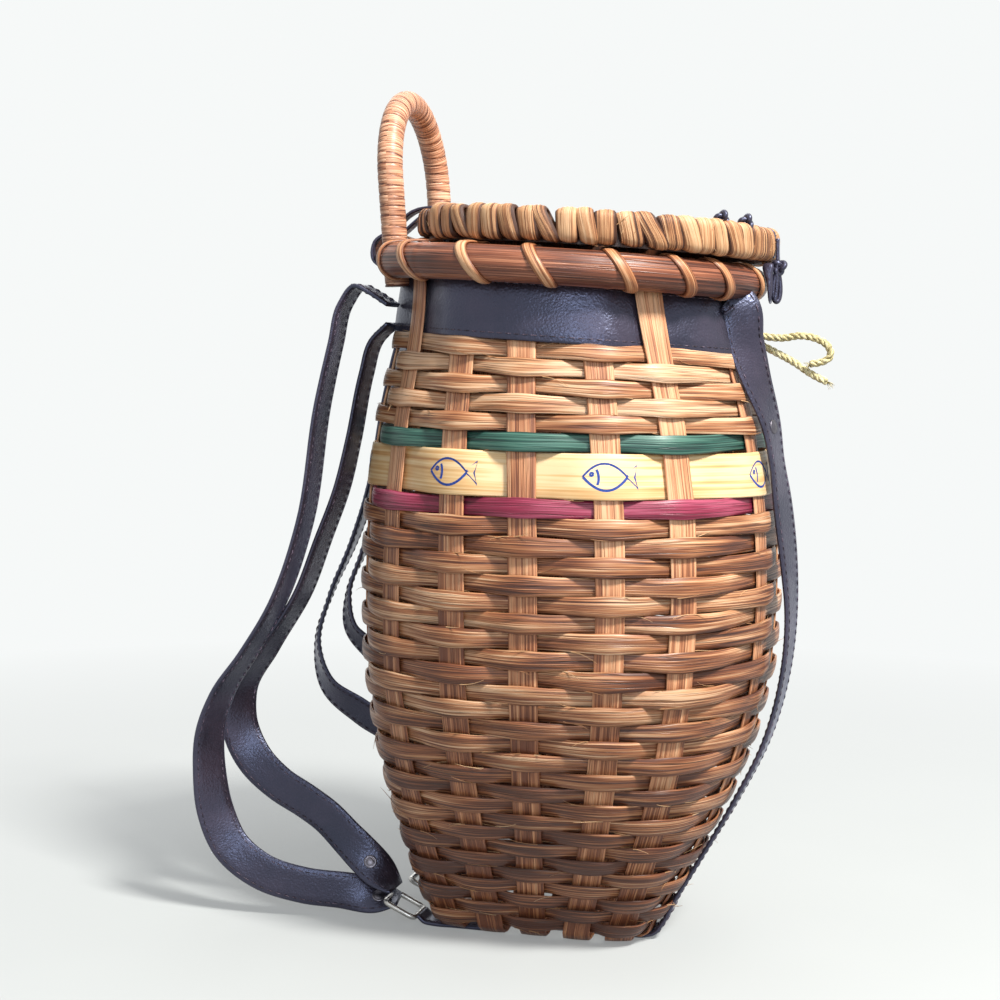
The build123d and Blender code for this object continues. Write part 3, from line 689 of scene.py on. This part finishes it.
def print_fish(build, row, k, size, pen=0.6, half_splint=10.9, above=0.58):
    """Lay the fish on the splint's crowned outer face, centred on one point of its line."""
    along = lengths(row.line, True)
    whole = [np.vstack([part, part[:1]]) for part in (row.line, row.across, row.out)]
    for flat in fish_lines(size):
        y = flat[:, 1:]
        spots, rise, normal = read_at((along[k] + flat[:, 0]) % along[-1], along, *whole)
        normal = unit(normal)
        spots = spots + unit(rise) * y + normal * (above + WOOD_CROWN * (1 - (y / half_splint) ** 2))
        side = unit(np.cross(directions(spots), normal)) * pen
        build.grid(np.stack([spots - side, spots + side], 1), lengths(spots), (0, 1), 0.0, round_=False)


ink = Build()
for k in wood_row.peaks():
    print_fish(ink, wood_row, k, 10.4)
ink.finish("ink_fish", "pale_splint", INK)


# ---- stitches, rim and lashings
stitches = Build()


def stitch_row(line, across, out, offset, face, both=True, pitch=4.2, size=2.8):
    """Short threads sunk a little into a strap, at a distance from its middle line."""
    along = lengths(line)
    dip = np.array([[-0.12], [0.16], [-0.12]])
    for i in range(1, int(along[-1] / pitch)):
        middle, side, up = read_at(i * pitch + size * np.array([-0.5, 0, 0.5]), along, line, across, out)
        for sign in (1, -1) if both else (1,):
            points = middle + side * offset + up * sign * (face + dip)
            if points[:, 2].min() > 0.4:      # lower ones are pressed flat on the floor
                tube(stitches, points, np.array([0.24, 0.32, 0.24]), sides=5, caps=False, up=tuple(side[1]))


closed = [np.vstack([a, a[:1]]) for a in (band_row.line, band_row.across, band_row.out)]
for offset in (3 - BAND_WIDTH / 2, BAND_WIDTH / 2 - 3):
    stitch_row(*closed, offset, BAND_THICK / 2 + 0.1, both=False)


def rim_point(angle, radius, at_back=False):
    x = RIM_X + radius * math.cos(angle)
    level, slope = (BACK_Z, BACK_SLOPE) if at_back else (RIM_Z, RIM_SLOPE)
    return np.array([x, radius * math.sin(angle), level - slope * (x - RIM_X)])


def rim_pole(name, middle, reach, node, radius, at_back=False):
    """A cane pole with the swollen joints of its stalk and a slightly uneven thickness."""
    start, end = middle - math.radians(reach), middle + math.radians(reach)
    angles = np.linspace(start, end, int((end - start) / math.radians(1.0)))
    line = np.array([rim_point(a, POLE_LINE, at_back) for a in angles])
    radius = np.full(len(angles), radius)
    for joint in (0.35, 1.9, -1.15, 2.5, -2.2):
        swelling = np.exp(-((angles - joint) / 0.018) ** 2)
        waist = np.exp(-((angles - joint - 0.03) / 0.01) ** 2)
        radius += 0.35 * swelling - 0.2 * waist
    build = Build()
    tube(build, line, radius, sides=28)
    build.finish(name, "pole_cane", POLE, node)


rim_pole("outer_rim_pole", 0, 149, "outer_rim", POLE_RADIUS)
rim_pole("back_rim_pole", math.pi, 21, "back_rim", BACK_POLE_RADIUS, at_back=True)


def closed_wrap(build, outline, place, width, slant, bulge, tone, shingle=0.0, strands=0, edge=0.5):
    """A flat cane laid once round an outline; place(r, z, shift) puts it in the model."""
    route = smooth(np.c_[outline, np.zeros(len(outline))], 4, loop=True)
    outline = route[:, :2]
    forward = directions(route, True)
    normal = np.c_[forward[:, 1], -forward[:, 0]]
    if (normal * (outline - outline.mean(0))).sum() < 0:
        normal = -normal
    lean = slant * (outline[:, 1] - outline[:, 1].mean()) / np.ptp(outline[:, 1])
    steps = np.linspace(-1, 1, 11 if strands else 7)
    height = bulge * np.sqrt(1 - (steps * 0.98) ** 2) + shingle * steps
    if strands:
        height += 0.18 * abs(np.sin(strands * math.pi * (steps + 1) / 2))
    profile = [*zip(steps, height), *((s, -0.25) for s in steps[::-1])]
    points = [
        [place(r + out * h, z + up * h, s * width / 2 + shift) for s, h in profile]
        for (r, z), (out, up), shift in zip(outline, normal, lean)
    ]
    u = lengths(route, True) + rng.uniform(0, 500)
    v = np.array([s * width / 2 for s, _ in profile] + [-width / 2])
    # Each cane's tone darkens towards its two sides by edge: painted shade for the dark gaps between
    # neighbouring canes.
    tones_with_gap_shade = np.array([[tone - edge * abs(s) ** 5 for s, _ in profile]])
    build.grid(points, u, v, np.broadcast_to(tones_with_gap_shade, (len(points), len(profile))), loop=True)


def rim_outline(inner_face, loose=0.5):
    """Round the pole and then down the inner side of the flat hoop, measured from the pole's middle."""
    turns = np.radians(np.linspace(78, -112, 15))
    top = (POLE_RADIUS + loose) * np.c_[np.cos(turns), np.sin(turns)]
    face = -inner_face
    bottom = [(face * 0.62, -6.6), (face + 0.8, -6.3), (face - loose, -4.6)]
    up = [(face - loose, 0), (face - loose, 4.6), (face + 0.8, 6.5), (face * 0.6, 7.3)]
    return np.vstack([top, bottom, up])


def rim_lashing(build, angle, width, slant, inner_face, tone, at_back=False):
    lift = 0 if at_back else rim_point(angle, POLE_LINE, True)[2] - rim_point(angle, POLE_LINE)[2]

    def place(r, z, shift):
        inward = min(max(-r / inner_face, 0), 1)
        return rim_point(angle + shift / POLE_LINE, POLE_LINE + r, at_back) + UP * (z + lift * inward)

    closed_wrap(build, rim_outline(inner_face), place, width, slant, 0.9, tone)


INNER_FACE = 15.6         # from the rim pole's middle to the inner side of the flat hoop
END_LASHING = 147         # degrees round to the narrow upright wraps at the pole's two ends
LASHING = (6.2, -11.0)    # the others' width, and how far each leans from edge to edge
lashings = Build()
for angle in sorted(bearing(corners) for corners in islands("rim_lashings")):
    at_end = abs(abs(math.degrees(angle)) - END_LASHING) < 1.5
    width, slant = (4.4, 0) if at_end else LASHING
    rim_lashing(lashings, angle, width, slant, INNER_FACE, rng.uniform(-0.1, 0.3))
for angle in (-28, 28):   # the widest gaps get one more
    rim_lashing(lashings, math.radians(angle), *LASHING, INNER_FACE, rng.uniform(-0.1, 0.3))
lashings.finish("rim_lashing_canes", "wrap_cane", WRAP, "rim_lashings")
back = Build()
rim_lashing(back, math.pi, 8.0, 4.0, INNER_FACE + 1.0, 0.1, at_back=True)
back.finish("back_lashing_cane", "wrap_cane", WRAP, "back_lashing")


# ---- handle: a bent cane wrapped from end to end
HANDLE_PITCH = 4.9        # from one turn of the wrapping cane to the next
HANDLE_SIDES = 24
HANDLE_INSET = 2.0        # the wrapped cane stands this far inside the rim pole's circle
HANDLE_TOP = 11.0         # from the CAD handle's top down to the wrapped cane's middle


def handle_line():
    """Up one leg, over the arch and down the other, leaning back with the basket's wall."""
    low, high = in_mm(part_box("handle"))
    arch = high[2] - HANDLE_TOP
    x0 = RIM_X - math.sqrt(POLE_LINE**2 - HANDLE_HALF**2) + HANDLE_INSET
    z0 = BACK_Z - BACK_SLOPE * (x0 - RIM_X)
    rise = (arch - z0) / math.cos(HANDLE_LEAN) - HANDLE_HALF
    leg = np.linspace(low[2] - z0 + 1.0, rise, 30)
    turns = np.linspace(0, math.pi, 61)
    points = [(-HANDLE_HALF, h) for h in leg[:-1]]
    points += [(-HANDLE_HALF * math.cos(a), rise + HANDLE_HALF * math.sin(a)) for a in turns]
    points += [(HANDLE_HALF, h) for h in leg[-2::-1]]
    return np.array([(x0 - math.sin(HANDLE_LEAN) * h, y, z0 + math.cos(HANDLE_LEAN) * h) for y, h in points])


def wrapped_handle():
    """The cane's turns stand out as flattened ridges, each of its own tone, with painted shade darkening the
    grooves between them.
    """
    fine, line = resampled(handle_line(), 640)
    phase = fine[:, None] / HANDLE_PITCH + np.arange(HANDLE_SIDES) / HANDLE_SIDES
    wave = phase % 1.0
    ridge = np.sqrt(np.clip(1 - (2 * wave - 1) ** 6, 0, 1))
    build = Build()
    tube(build, line, 5.8 + 0.55 * ridge + 0.12 * (wave - 0.5), sides=HANDLE_SIDES, up=(1, 0, 0))
    scatter = np.sin(12.9898 * np.floor(phase)) * 43758.5453 % 1.0
    # each turn's own tone, and painted shade deep in the grooves between turns
    build.tone = [(0.16 * (scatter - 0.5) - 1.2 * (1 - ridge) ** 1.5).ravel()]
    build.finish("handle_wrapped", "wrap_cane", HANDLE_WRAP, "handle")


wrapped_handle()


# ---- lid: an edge hoop bound with broad canes over a dark under hoop
def lid_point(angle, radius, level):
    x = radius * math.cos(angle)
    y = radius * math.sin(angle)
    return np.array([
        LID_X + x * math.cos(LID_TILT) + level * math.sin(LID_TILT), y,
        LID_Z - x * math.sin(LID_TILT) + level * math.cos(LID_TILT),
    ])


def boxy(wave):
    """A wave that fills its corners, for an outline between an ellipse and a rectangle."""
    return np.copysign(abs(wave) ** 0.62, wave)


def lid_binding(count=58):
    """Broad canes side by side round the hoop, each lapping the next and no two alike."""
    build = Build()
    turns = np.linspace(math.pi, 3 * math.pi, 16, endpoint=False)
    for i in range(count):
        angle = 2 * math.pi * (i + rng.uniform(-0.16, 0.16)) / count
        at_back = math.cos(angle) < -0.78     # thinner where the open lid leans towards the handle
        thick, high, bulge = (2.1, 5.2, 0.8) if at_back else (2.7, 6.2, 1.9)
        thick += rng.uniform(-0.1, 0.3)
        high += rng.uniform(-0.35, 0.45)
        outline = np.c_[thick * boxy(np.cos(turns)), high * boxy(np.sin(turns))]
        tip = rng.uniform(-0.6, 0.6)

        def place(r, z, shift, angle=angle, tip=tip):
            return lid_point(angle + (shift + tip * z * 0.4) / LID_RADIUS, LID_RADIUS + r, z)

        width, slant, tone = (rng.uniform(*ends) for ends in ((8.8, 11.4), (-7.0, -0.5), (-0.1, 0.3)))
        # edge=0.9 darkens each cane's sides as painted shade in the gaps between canes
        closed_wrap(build, outline, place, width, slant, bulge, tone, shingle=0.5, strands=5, edge=0.9)
    build.finish("lid_hoop_binding", "wrap_cane", BINDING, "lid_hoop", body="lid")


def lid_fibres(count=46):
    """Split ends of the binding that stand off the hoop."""
    build = Build()
    t = np.linspace(0, 1, 6)[:, None]
    for _ in range(count):
        angle = rng.uniform(0, 2 * math.pi)
        level = rng.uniform(-5, 6)
        point = lid_point(angle, LID_RADIUS + 3.4, level)
        outward = unit(lid_point(angle, LID_RADIUS + 10, level) - point)
        along = np.array([-math.sin(angle), math.cos(angle), 0.0])
        size = rng.uniform(3, 9)
        aside = along * rng.uniform(-0.7, 0.7) + UP * rng.uniform(-0.8, 0.9)
        hair(build, point + size * (aside * t + outward * rng.uniform(0.1, 0.5) * t**1.7), 0.28, 0.09)
    build.finish("lid_stray_fibres", "wrap_cane", FIBRE, body="lid")


lid_binding()
lid_fibres()
for node, look in (
    ("lid_under_hoop", HOOP), ("lid_splints_front_to_back", PANEL_X), ("lid_splints_side_to_side", PANEL_Y),
):
    frame["nodes"][node].data.materials.clear()
    frame["nodes"][node].data.materials.append(look)


# ---- leather straps
def leather_strip(name, body, route, width, thick, *nodes, seams=True, steps=9):
    """A strap through points of x, y, z and the turn of its width from level, in degrees."""
    table = smooth(np.array(route, float), steps)
    line = table[:, :3]
    forward = directions(line)
    flat = unit(LEVEL - forward * (forward @ LEVEL)[:, None])
    turn = np.radians(table[:, 3])[:, None]
    across = unit(flat * np.cos(turn) + np.cross(forward, flat) * np.sin(turn))
    out = np.cross(forward, across)
    build = Build()
    strip(build, line, across, out, width, thick, 0.12, start=rng.uniform(0, 400))
    build.finish(name, "leather", LEATHER, *nodes, body=body)
    if seams:
        for offset in (-width / 2 + 2.4, width / 2 - 2.4):
            stitch_row(line, across, out, offset, thick / 2 + 0.1)
    return line, out


# Points of each strap: x, y, z and the turn of its width from level, in degrees.
STRAPS = {
    "near_strap_outer": [
        (-74, -46, 324, 0), (-84, -46, 330, 0), (-91, -46, 333, 0), (-99, -46, 324, 0), (-104, -46, 305, 0),
        (-111, -46, 275, 2), (-121, -46, 214, 4), (-136, -46, 172, 6), (-153, -45, 144, 10),
        (-168, -44, 122, 18), (-176, -43, 100, 26), (-177, -42, 78, 34), (-174, -41, 56, 50),
        (-166, -40, 38, 66), (-150, -38, 25, 80), (-128, -34, 18, 86), (-104, -28, 15, 80),
        (-88, -24, 12, 40), (-77, -22, 11, 0),
    ],
    "near_strap_inner": [
        (-78, -34, 315, 0), (-87, -34, 306, 0), (-92, -34, 290, 0), (-99, -34, 256, 2), (-105, -34, 232, 4),
        (-116, -33, 204, 6), (-128, -30, 176, 8), (-150, -26, 143, 14), (-166, -23, 119, 28),
        (-168, -22, 101, 50), (-160, -22, 83, 74), (-146, -22, 70, 88), (-130, -22, 61, 92),
        (-119, -22, 54, 92), (-106, -22, 42, 86), (-90, -22, 27, 50), (-79, -22, 17, 0),
    ],
    "far_strap_outer": [
        (-74, 46, 324, 0), (-86, 46, 327, 0), (-94, 46, 322, 0), (-100, 46, 304, 0), (-106, 46, 280, 0),
        (-118, 46, 222, -4), (-128, 46, 194, -8), (-141, 46, 165, -14), (-149, 46, 136, -26),
        (-143, 47, 112, -48), (-124, 50, 97, -64), (-102, 49, 84, -60), (-88, 42, 60, -40),
        (-80, 30, 32, -16), (-79, 22, 13, 0),
    ],
    "far_strap_inner": [
        (-78, 34, 315, 0), (-88, 34, 304, 0), (-96, 34, 264, 0), (-106, 34, 224, -4), (-117, 34, 192, -10),
        (-126, 34, 168, -22), (-125, 35, 148, -40), (-113, 38, 134, -50), (-99, 40, 118, -46),
        (-90, 38, 90, -30), (-85, 30, 54, -10), (-82, 24, 28, 0), (-80, 22, 16, 0),
    ],
    "front_strap": [
        (88.5, -25, 326, 20), (91.5, -27, 331, 50), (96.5, -27, 326, 64), (99.5, -26, 310, 58),
        (104.2, -24, 295, 42), (113.2, -19, 268, 18), (116.0, -17, 252, 12), (119.6, -15, 230, 18),
        (124.2, -11, 194, 14), (125.2, -10, 181, 10), (122.9, -8, 140, 5), (115.4, -8, 109, 3),
        (100.6, -8, 76, 2), (82.4, -8, 42, 0), (71.0, -8, 21, 0), (65.5, -8, 9, 0), (61.5, -8, 3.6, 0),
        (56, -8, 1.6, 0), (48, -8, 1.3, 0), (20, -8, 1.3, 0), (-25, -8, 1.3, 0),
    ],
}
STRAP_WIDTH, STRAP_THICK = 20, 2
FRONT_RIVET_Z = 269
RING_Y = 22               # the rings and their tabs stand this far to each side
TAB = [(-25, 1.3), (-45, 1.3), (-56, 1.3), (-61, 2.1), (-64.5, 5.2)]
strap_lines = {
    name: leather_strip(name + "_leather", "basket", route, STRAP_WIDTH, STRAP_THICK, name)
    for name, route in STRAPS.items()
}
for side, name, nodes in ((-1, "near", ["ring_tabs"]), (1, "far", [])):
    tab = [(x, side * RING_Y, z, 0) for x, z in TAB]
    leather_strip(f"{name}_ring_tab", "basket", tab, 16, STRAP_THICK, *nodes, steps=5)


# ---- metal
def rivet(build, point, normal, radius=3.6):
    """A domed cap with a rolled rim, set on a surface."""
    side = unit(np.cross(normal, (0.3, 1, 0.2)))
    other = np.cross(normal, side)
    profile = [(1.0, -0.6), (1.0, 0.25), (0.9, 0.55), (0.74, 0.42), (0.6, 0.62), (0.35, 0.85), (0.02, 0.95)]
    turn = np.linspace(0, 2 * math.pi, 20, endpoint=False)[:, None]
    ring = np.cos(turn) * side + np.sin(turn) * other
    points = [point + ring * share * radius + normal * height for share, height in profile]
    build.grid(points, np.arange(len(profile)), np.arange(21), 0.0)


def wire_ring(build, side, slant=math.radians(25), half_long=9.0, half_wide=10.0, bend=3.0):
    """A rectangular ring with rounded corners, leaning where its strap pulls it."""
    low, high = in_mm(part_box("harness_rings"))
    middle = (low + high) / 2
    points = []
    for cx, cy, start in ((1, 1, 0), (-1, 1, 90), (-1, -1, 180), (1, -1, 270)):
        for a in np.radians(np.linspace(start, start + 90, 7)):
            x = cx * (half_long - bend) + bend * math.cos(a)
            y = cy * (half_wide - bend) + bend * math.sin(a)
            points.append(middle * (1, 0, 1) + (-x * math.cos(slant), side * RING_Y + y, x * math.sin(slant)))
    tube(build, np.array(points), 1.5, sides=14, loop=True, up=(math.sin(slant), 0, math.cos(slant)))


def strap_rivet(build, name, k, facing):
    """A rivet at one point of a strap's line, on the side that looks the given way."""
    line, out = strap_lines[name]
    normal = unit(out[k] if out[k] @ np.array(facing) > 0 else -out[k])
    rivet(build, line[k] + normal * (STRAP_THICK / 2 + 0.1), normal)


rings = Build()
for side in (-1, 1):
    wire_ring(rings, side)
rings.finish("harness_rings_wire", "nickel", NICKEL, "harness_rings")
rivets = Build()
for name, share in (("near_strap_inner", 0.93), ("near_strap_outer", 0.945), ("far_strap_outer", 0.93)):
    last = len(strap_lines[name][0]) - 1
    strap_rivet(rivets, name, int(share * last), (0.2, -1, 0.3))
front_height = strap_lines["front_strap"][0][:, 2]
strap_rivet(rivets, "front_strap", int(np.argmin(abs(front_height - FRONT_RIVET_Z))), (1, 0, 0))
rivets.finish("strap_rivets", "nickel", RIVET)
stitches.finish("strap_stitches", "leather", THREAD)


# ---- hinge thongs
def hinge_thong(build, y):
    """A thong round the back pole, up over the hoop, down inside it and back below the inner rim."""
    corners = min(islands("hinge_thongs"), key=lambda c: abs(c[:, 1].mean() - y))
    level = corners[np.isclose(corners[:, 1], corners[:, 1].min(), atol=0.1)]
    middle = level.mean(0)
    outer = []
    for p in sorted(level.tolist(), key=lambda p: math.atan2(p[2] - middle[2], p[0] - middle[0])):
        if not outer or math.dist(outer[-1], p) > 2.4:
            outer.append(p)
    line = smooth(outer, 5, loop=True)
    line[:, 1] = y
    out = np.cross(directions(line, True), LEVEL)
    if (out * (line - line.mean(0))).sum() < 0:
        out = -out
    strip(build, line, np.tile(LEVEL, (len(line), 1)), out, 8.0, 1.5, 0.1, loop=True)


thongs = Build()
for y in (-10.2, 10.2):
    hinge_thong(thongs, y)
thong_piece = thongs.finish("hinge_thong_leather", "leather", LEATHER, "hinge_thongs", body=None)
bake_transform(thong_piece)


# ---- latch
def knot(build, middle, radius, thick, turn=0.0):
    """An overhand knot, drawn up tight, as a trefoil line."""
    t = np.linspace(0, 2 * math.pi, 72, endpoint=False)
    x = np.sin(t) + 2 * np.sin(2 * t)
    y = np.cos(t) - 2 * np.cos(2 * t)
    z = -np.sin(3 * t) * 0.9
    c, s = math.cos(turn), math.sin(turn)
    line = np.stack([x * c - y * s, z * 1.4, x * s + y * c], 1) * radius / 3 + np.asarray(middle)
    tube(build, line, thick, sides=8, loop=True, up=(0.3, 1, 0.1))


def rounded_wedge(build, corners, depth, y):
    """A wedge of leather whose edges are rounded, tapering to its lower end."""
    ring = smooth(np.insert(corners, 1, y, axis=1), 6, loop=True)
    centre = np.insert(np.mean(corners, axis=0), 1, y)
    half = [(1, 0.55), (0.94, 0.82), (0.8, 0.96), (0.4, 1)]
    shape = [(-side, grow) for side, grow in half] + [(0, 1.02)] + half[::-1]
    points = [centre + (ring - centre) * grow + LEVEL * side * depth / 2 for side, grow in shape]
    build.grid(points, np.arange(len(shape)) * 2.0, np.arange(len(ring) + 1), 0.0)


def drop_loop(build, x, y, z, count=40):
    """The thong's end, looped like a drop below its knot."""
    turn = np.linspace(0, 2 * math.pi, count, endpoint=False)
    wide = 1.5 * np.sin(turn) * (1 - 0.35 * np.cos(turn))
    line = np.c_[x + wide, y + 1.4 * np.sin(turn), z + 7.2 * np.cos(turn)]
    tube(build, line, 1.25, sides=8, loop=True, up=(0.2, 1, 0.1))


thong_low, thong_high = in_mm(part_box("latch_thong"))
anchor_low, anchor_high = in_mm(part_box("latch_anchor"))
wedge_low, wedge_high = in_mm(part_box("latch_toggle"))
thong_x, latch_y, _ = (thong_low + thong_high) / 2
anchor_x = (anchor_low[0] + anchor_high[0]) / 2
wedge_x, _, wedge_z = (wedge_low + wedge_high) / 2
bottom, top = anchor_low[2], anchor_high[2]
anchor_route = [
    (anchor_x + x, latch_y, z, 0)
    for x, z in ((-0.4, bottom - 0.5), (0, bottom + 4), (0, top - 4), (-0.6, top + 0.8), (-3.6, top + 2.6))
]
leather_strip("latch_anchor_leather", "lid", anchor_route, 5, 1.5, "latch_anchor", seams=False)
bottom, top = thong_low[2], thong_high[2]
thong_route = [
    (thong_x + x, latch_y, z, turn)
    for x, z, turn in ((-0.2, top - 0.3, 0), (0, top - 7, 0), (0.3, top - 16, 12), (0, bottom + 6, -10),
                       (-0.4, bottom + 0.4, 6))
]
leather_strip("latch_thong_leather", "latch", thong_route, 4.6, 1.5, "latch_thong", seams=False)
knots = Build()
knot(knots, (thong_x + 0.9, latch_y, top - 14), 3.2, 1.35)
drop_loop(knots, thong_x + 0.2, latch_y, bottom + 7.5)
left, right = wedge_low[0], wedge_high[0]
bottom, top = wedge_low[2], wedge_high[2]
toggle = Build()
rounded_wedge(toggle, [
    (left + 0.3, top - 0.4), (wedge_x, top), (right - 0.2, top - 0.4), (right, top - 5),
    (right - 0.3, bottom + 3), (right - 0.9, bottom + 0.4), (left * 0.6 + right * 0.4, wedge_z),
], 12, latch_y)
toggle.finish("latch_toggle_leather", "leather", LEATHER, "latch_toggle", body="latch")
knots.finish("latch_knot", "leather", LEATHER, body="latch")
lid_knots = Build()
for x, y in ((93, -30), (82, -44)):
    knot(lid_knots, lid_point(math.atan2(y, x - LID_X), LID_RADIUS - 1, 9.0), 3.0, 1.3, turn=0.7)
lid_knots.finish("lid_knots", "leather", LEATHER, body="lid")


# ---- twine ends
upper_route = [
    (104.6, -9, 312.5), (114, -9, 310.5), (126, -8, 313.5), (139, -7, 309), (140, -7, 300), (130, -8.5, 299),
]
lower_route = [(105.8, -6, 307.5), (113, -5.5, 304), (122, -5, 299.5), (131.5, -5.5, 293), (138, -6, 290.5)]


def spline_points(route):
    """Points read from the NURBS spline that has the route as its control points."""
    data = bpy.data.curves.new("route", "CURVE")
    data.dimensions = "3D"
    data.resolution_u = 10
    spline = data.splines.new("NURBS")
    spline.points.add(len(route) - 1)
    for point, place in zip(spline.points, route):
        point.co = (*(c * MM for c in place), 1)
    spline.order_u = 3
    spline.use_endpoint_u = True
    holder = bpy.data.objects.new("route", data)
    bpy.context.scene.collection.objects.link(holder)
    mesh = bpy.data.meshes.new_from_object(holder)
    points = [tuple(v.co) for v in mesh.vertices]
    bpy.data.objects.remove(holder)
    bpy.data.meshes.remove(mesh)
    return points


def twine(name, route, lay=9.5, sideways=(0, 1, 0.2)):
    """Three strands laid together along the route, with a frayed end and stray hairs."""
    along, line = resampled(np.array(spline_points(route)) / MM, 120)
    forward = directions(line)
    side = unit(np.cross(forward, (0, 1, 0.1)))
    other = np.cross(forward, side)
    build = Build()
    frays = Build()
    for strand in range(3):
        turn = (2 * math.pi * (along / lay + strand / 3))[:, None]
        offset = side * np.cos(turn) + other * np.sin(turn)
        tube(build, line + offset * 0.92, 0.98, sides=8, tone=rng.uniform(-0.2, 0.2), up=sideways)
    t = np.linspace(0, 1, 5)[:, None]
    for _ in range(16):
        spread = unit(forward[-1] + np.array([rng.uniform(-0.5, 0.5) for _ in range(3)]))
        hair(frays, line[-2] + spread * t * rng.uniform(2, 5) - UP * 1.2 * t**2, 0.22, 0.07, -0.2, sideways)
    t = np.linspace(0, 1, 4)[:, None]
    for _ in range(22):
        k = rng.randrange(8, 110)
        spread = unit(forward[k] + side[k] * rng.uniform(-1, 1) + other[k] * rng.uniform(-1, 1))
        hair(frays, line[k] + spread * t * rng.uniform(1.5, 3.5), 0.12, 0.05, -0.2, sideways)
    piece = build.finish(name + "_strands", "twine", TWINE, name)
    frayed = frays.finish(name + "_frays", "twine", TWINE)
    tuple(c * MM for c in route[0])


twine("twine_upper_end", upper_route)
twine("twine_lower_end", lower_route)


# ---- stage, lights, camera
BACKDROP = (0.925, 0.945, 0.94, 1)


def stage():
    """A pale floor that keeps the object's shadow and fades into the backdrop's colour further out."""
    bpy.ops.mesh.primitive_plane_add(size=30, location=(0, 0, 0))
    floor = bpy.context.object
    floor.name = "studio_floor"
    m = new_material("studio_floor", 0.9, Specular_IOR_Level=0.1)
    pale = m.ramp(m.noise(m.place(3)), [(0.3, (176, 180, 180)), (0.7, (180, 184, 184))])
    seen = m.seen()
    m.look(Base_Color=m.mix(seen, (0.2, 0.2, 0.2, 1), pale))
    distance = m.add("ShaderNodeVectorMath", {0: m.place(1)}, operation="LENGTH").outputs["Value"]
    share = m.math("MULTIPLY", m.span(distance, 0.2, 1.0, 0.25, 1.0), seen)
    glow = m.add("ShaderNodeEmission", {"Color": BACKDROP}).outputs[0]
    surface = m.add("ShaderNodeMixShader", {0: share, 1: m.shader.outputs[0], 2: glow}).outputs[0]
    m.put(surface, m.tree.nodes["Material Output"].inputs["Surface"])
    floor.data.materials.append(m.owner)


def world():
    """The backdrop's colour to the camera and in reflections, a plain grey fill otherwise."""
    studio = bpy.data.worlds.new("studio")
    bpy.context.scene.world = studio
    m = Nodes(studio, "Background", Color=BACKDROP)
    m.look(Strength=m.span(m.seen(), 0, 1, 0.24, 1.0))


def area(name, place, target, size, power, colour=(1, 1, 1)):
    light = bpy.data.lights.new(name, "AREA")
    light.size = size
    light.energy = power
    light.color = colour
    lamp = bpy.data.objects.new(name, light)
    lamp.location = place
    lamp.rotation_euler = (Vector(target) - Vector(place)).to_track_quat("-Z", "Y").to_euler()
    bpy.context.scene.collection.objects.link(lamp)


def camera():
    """The photograph's view: just above the belly, from the near side and a little to the front."""
    azimuth, elevation, roll = (math.radians(a) for a in (13.36, 9.22, 1.08))
    data = bpy.data.cameras.new("camera")
    data.lens = 66.67
    data.sensor_width = 36
    data.shift_x = -0.058
    data.shift_y = 0.154
    view = bpy.data.objects.new("camera", data)
    target = Matrix.Translation((0.0027, 0, 0.1455))
    turned = Matrix.Rotation(azimuth, 4, "Z") @ Matrix.Rotation(math.pi / 2 - elevation, 4, "X")
    away = Matrix.Rotation(roll, 4, "Z") @ Matrix.Translation((0, 0, 0.9758))
    view.matrix_world = target @ turned @ away
    bpy.context.scene.collection.objects.link(view)
    bpy.context.scene.camera = view


stage()
world()
area("key", (1.3, -0.9, 2.2), (0, 0, 0.2), 0.45, 128, (1.0, 0.97, 0.92))
area("fill", (0.5, -1.9, 0.75), (0, 0, 0.2), 0.75, 12, (0.82, 0.9, 1.0))
area("top", (0.1, 0.3, 1.9), (0, 0, 0.2), 1.2, 9)
area("back", (-0.6, 1.6, 1.1), (0, 0, 0.25), 1.2, 6)
camera()
bpy.context.scene.view_settings.view_transform = "Standard"
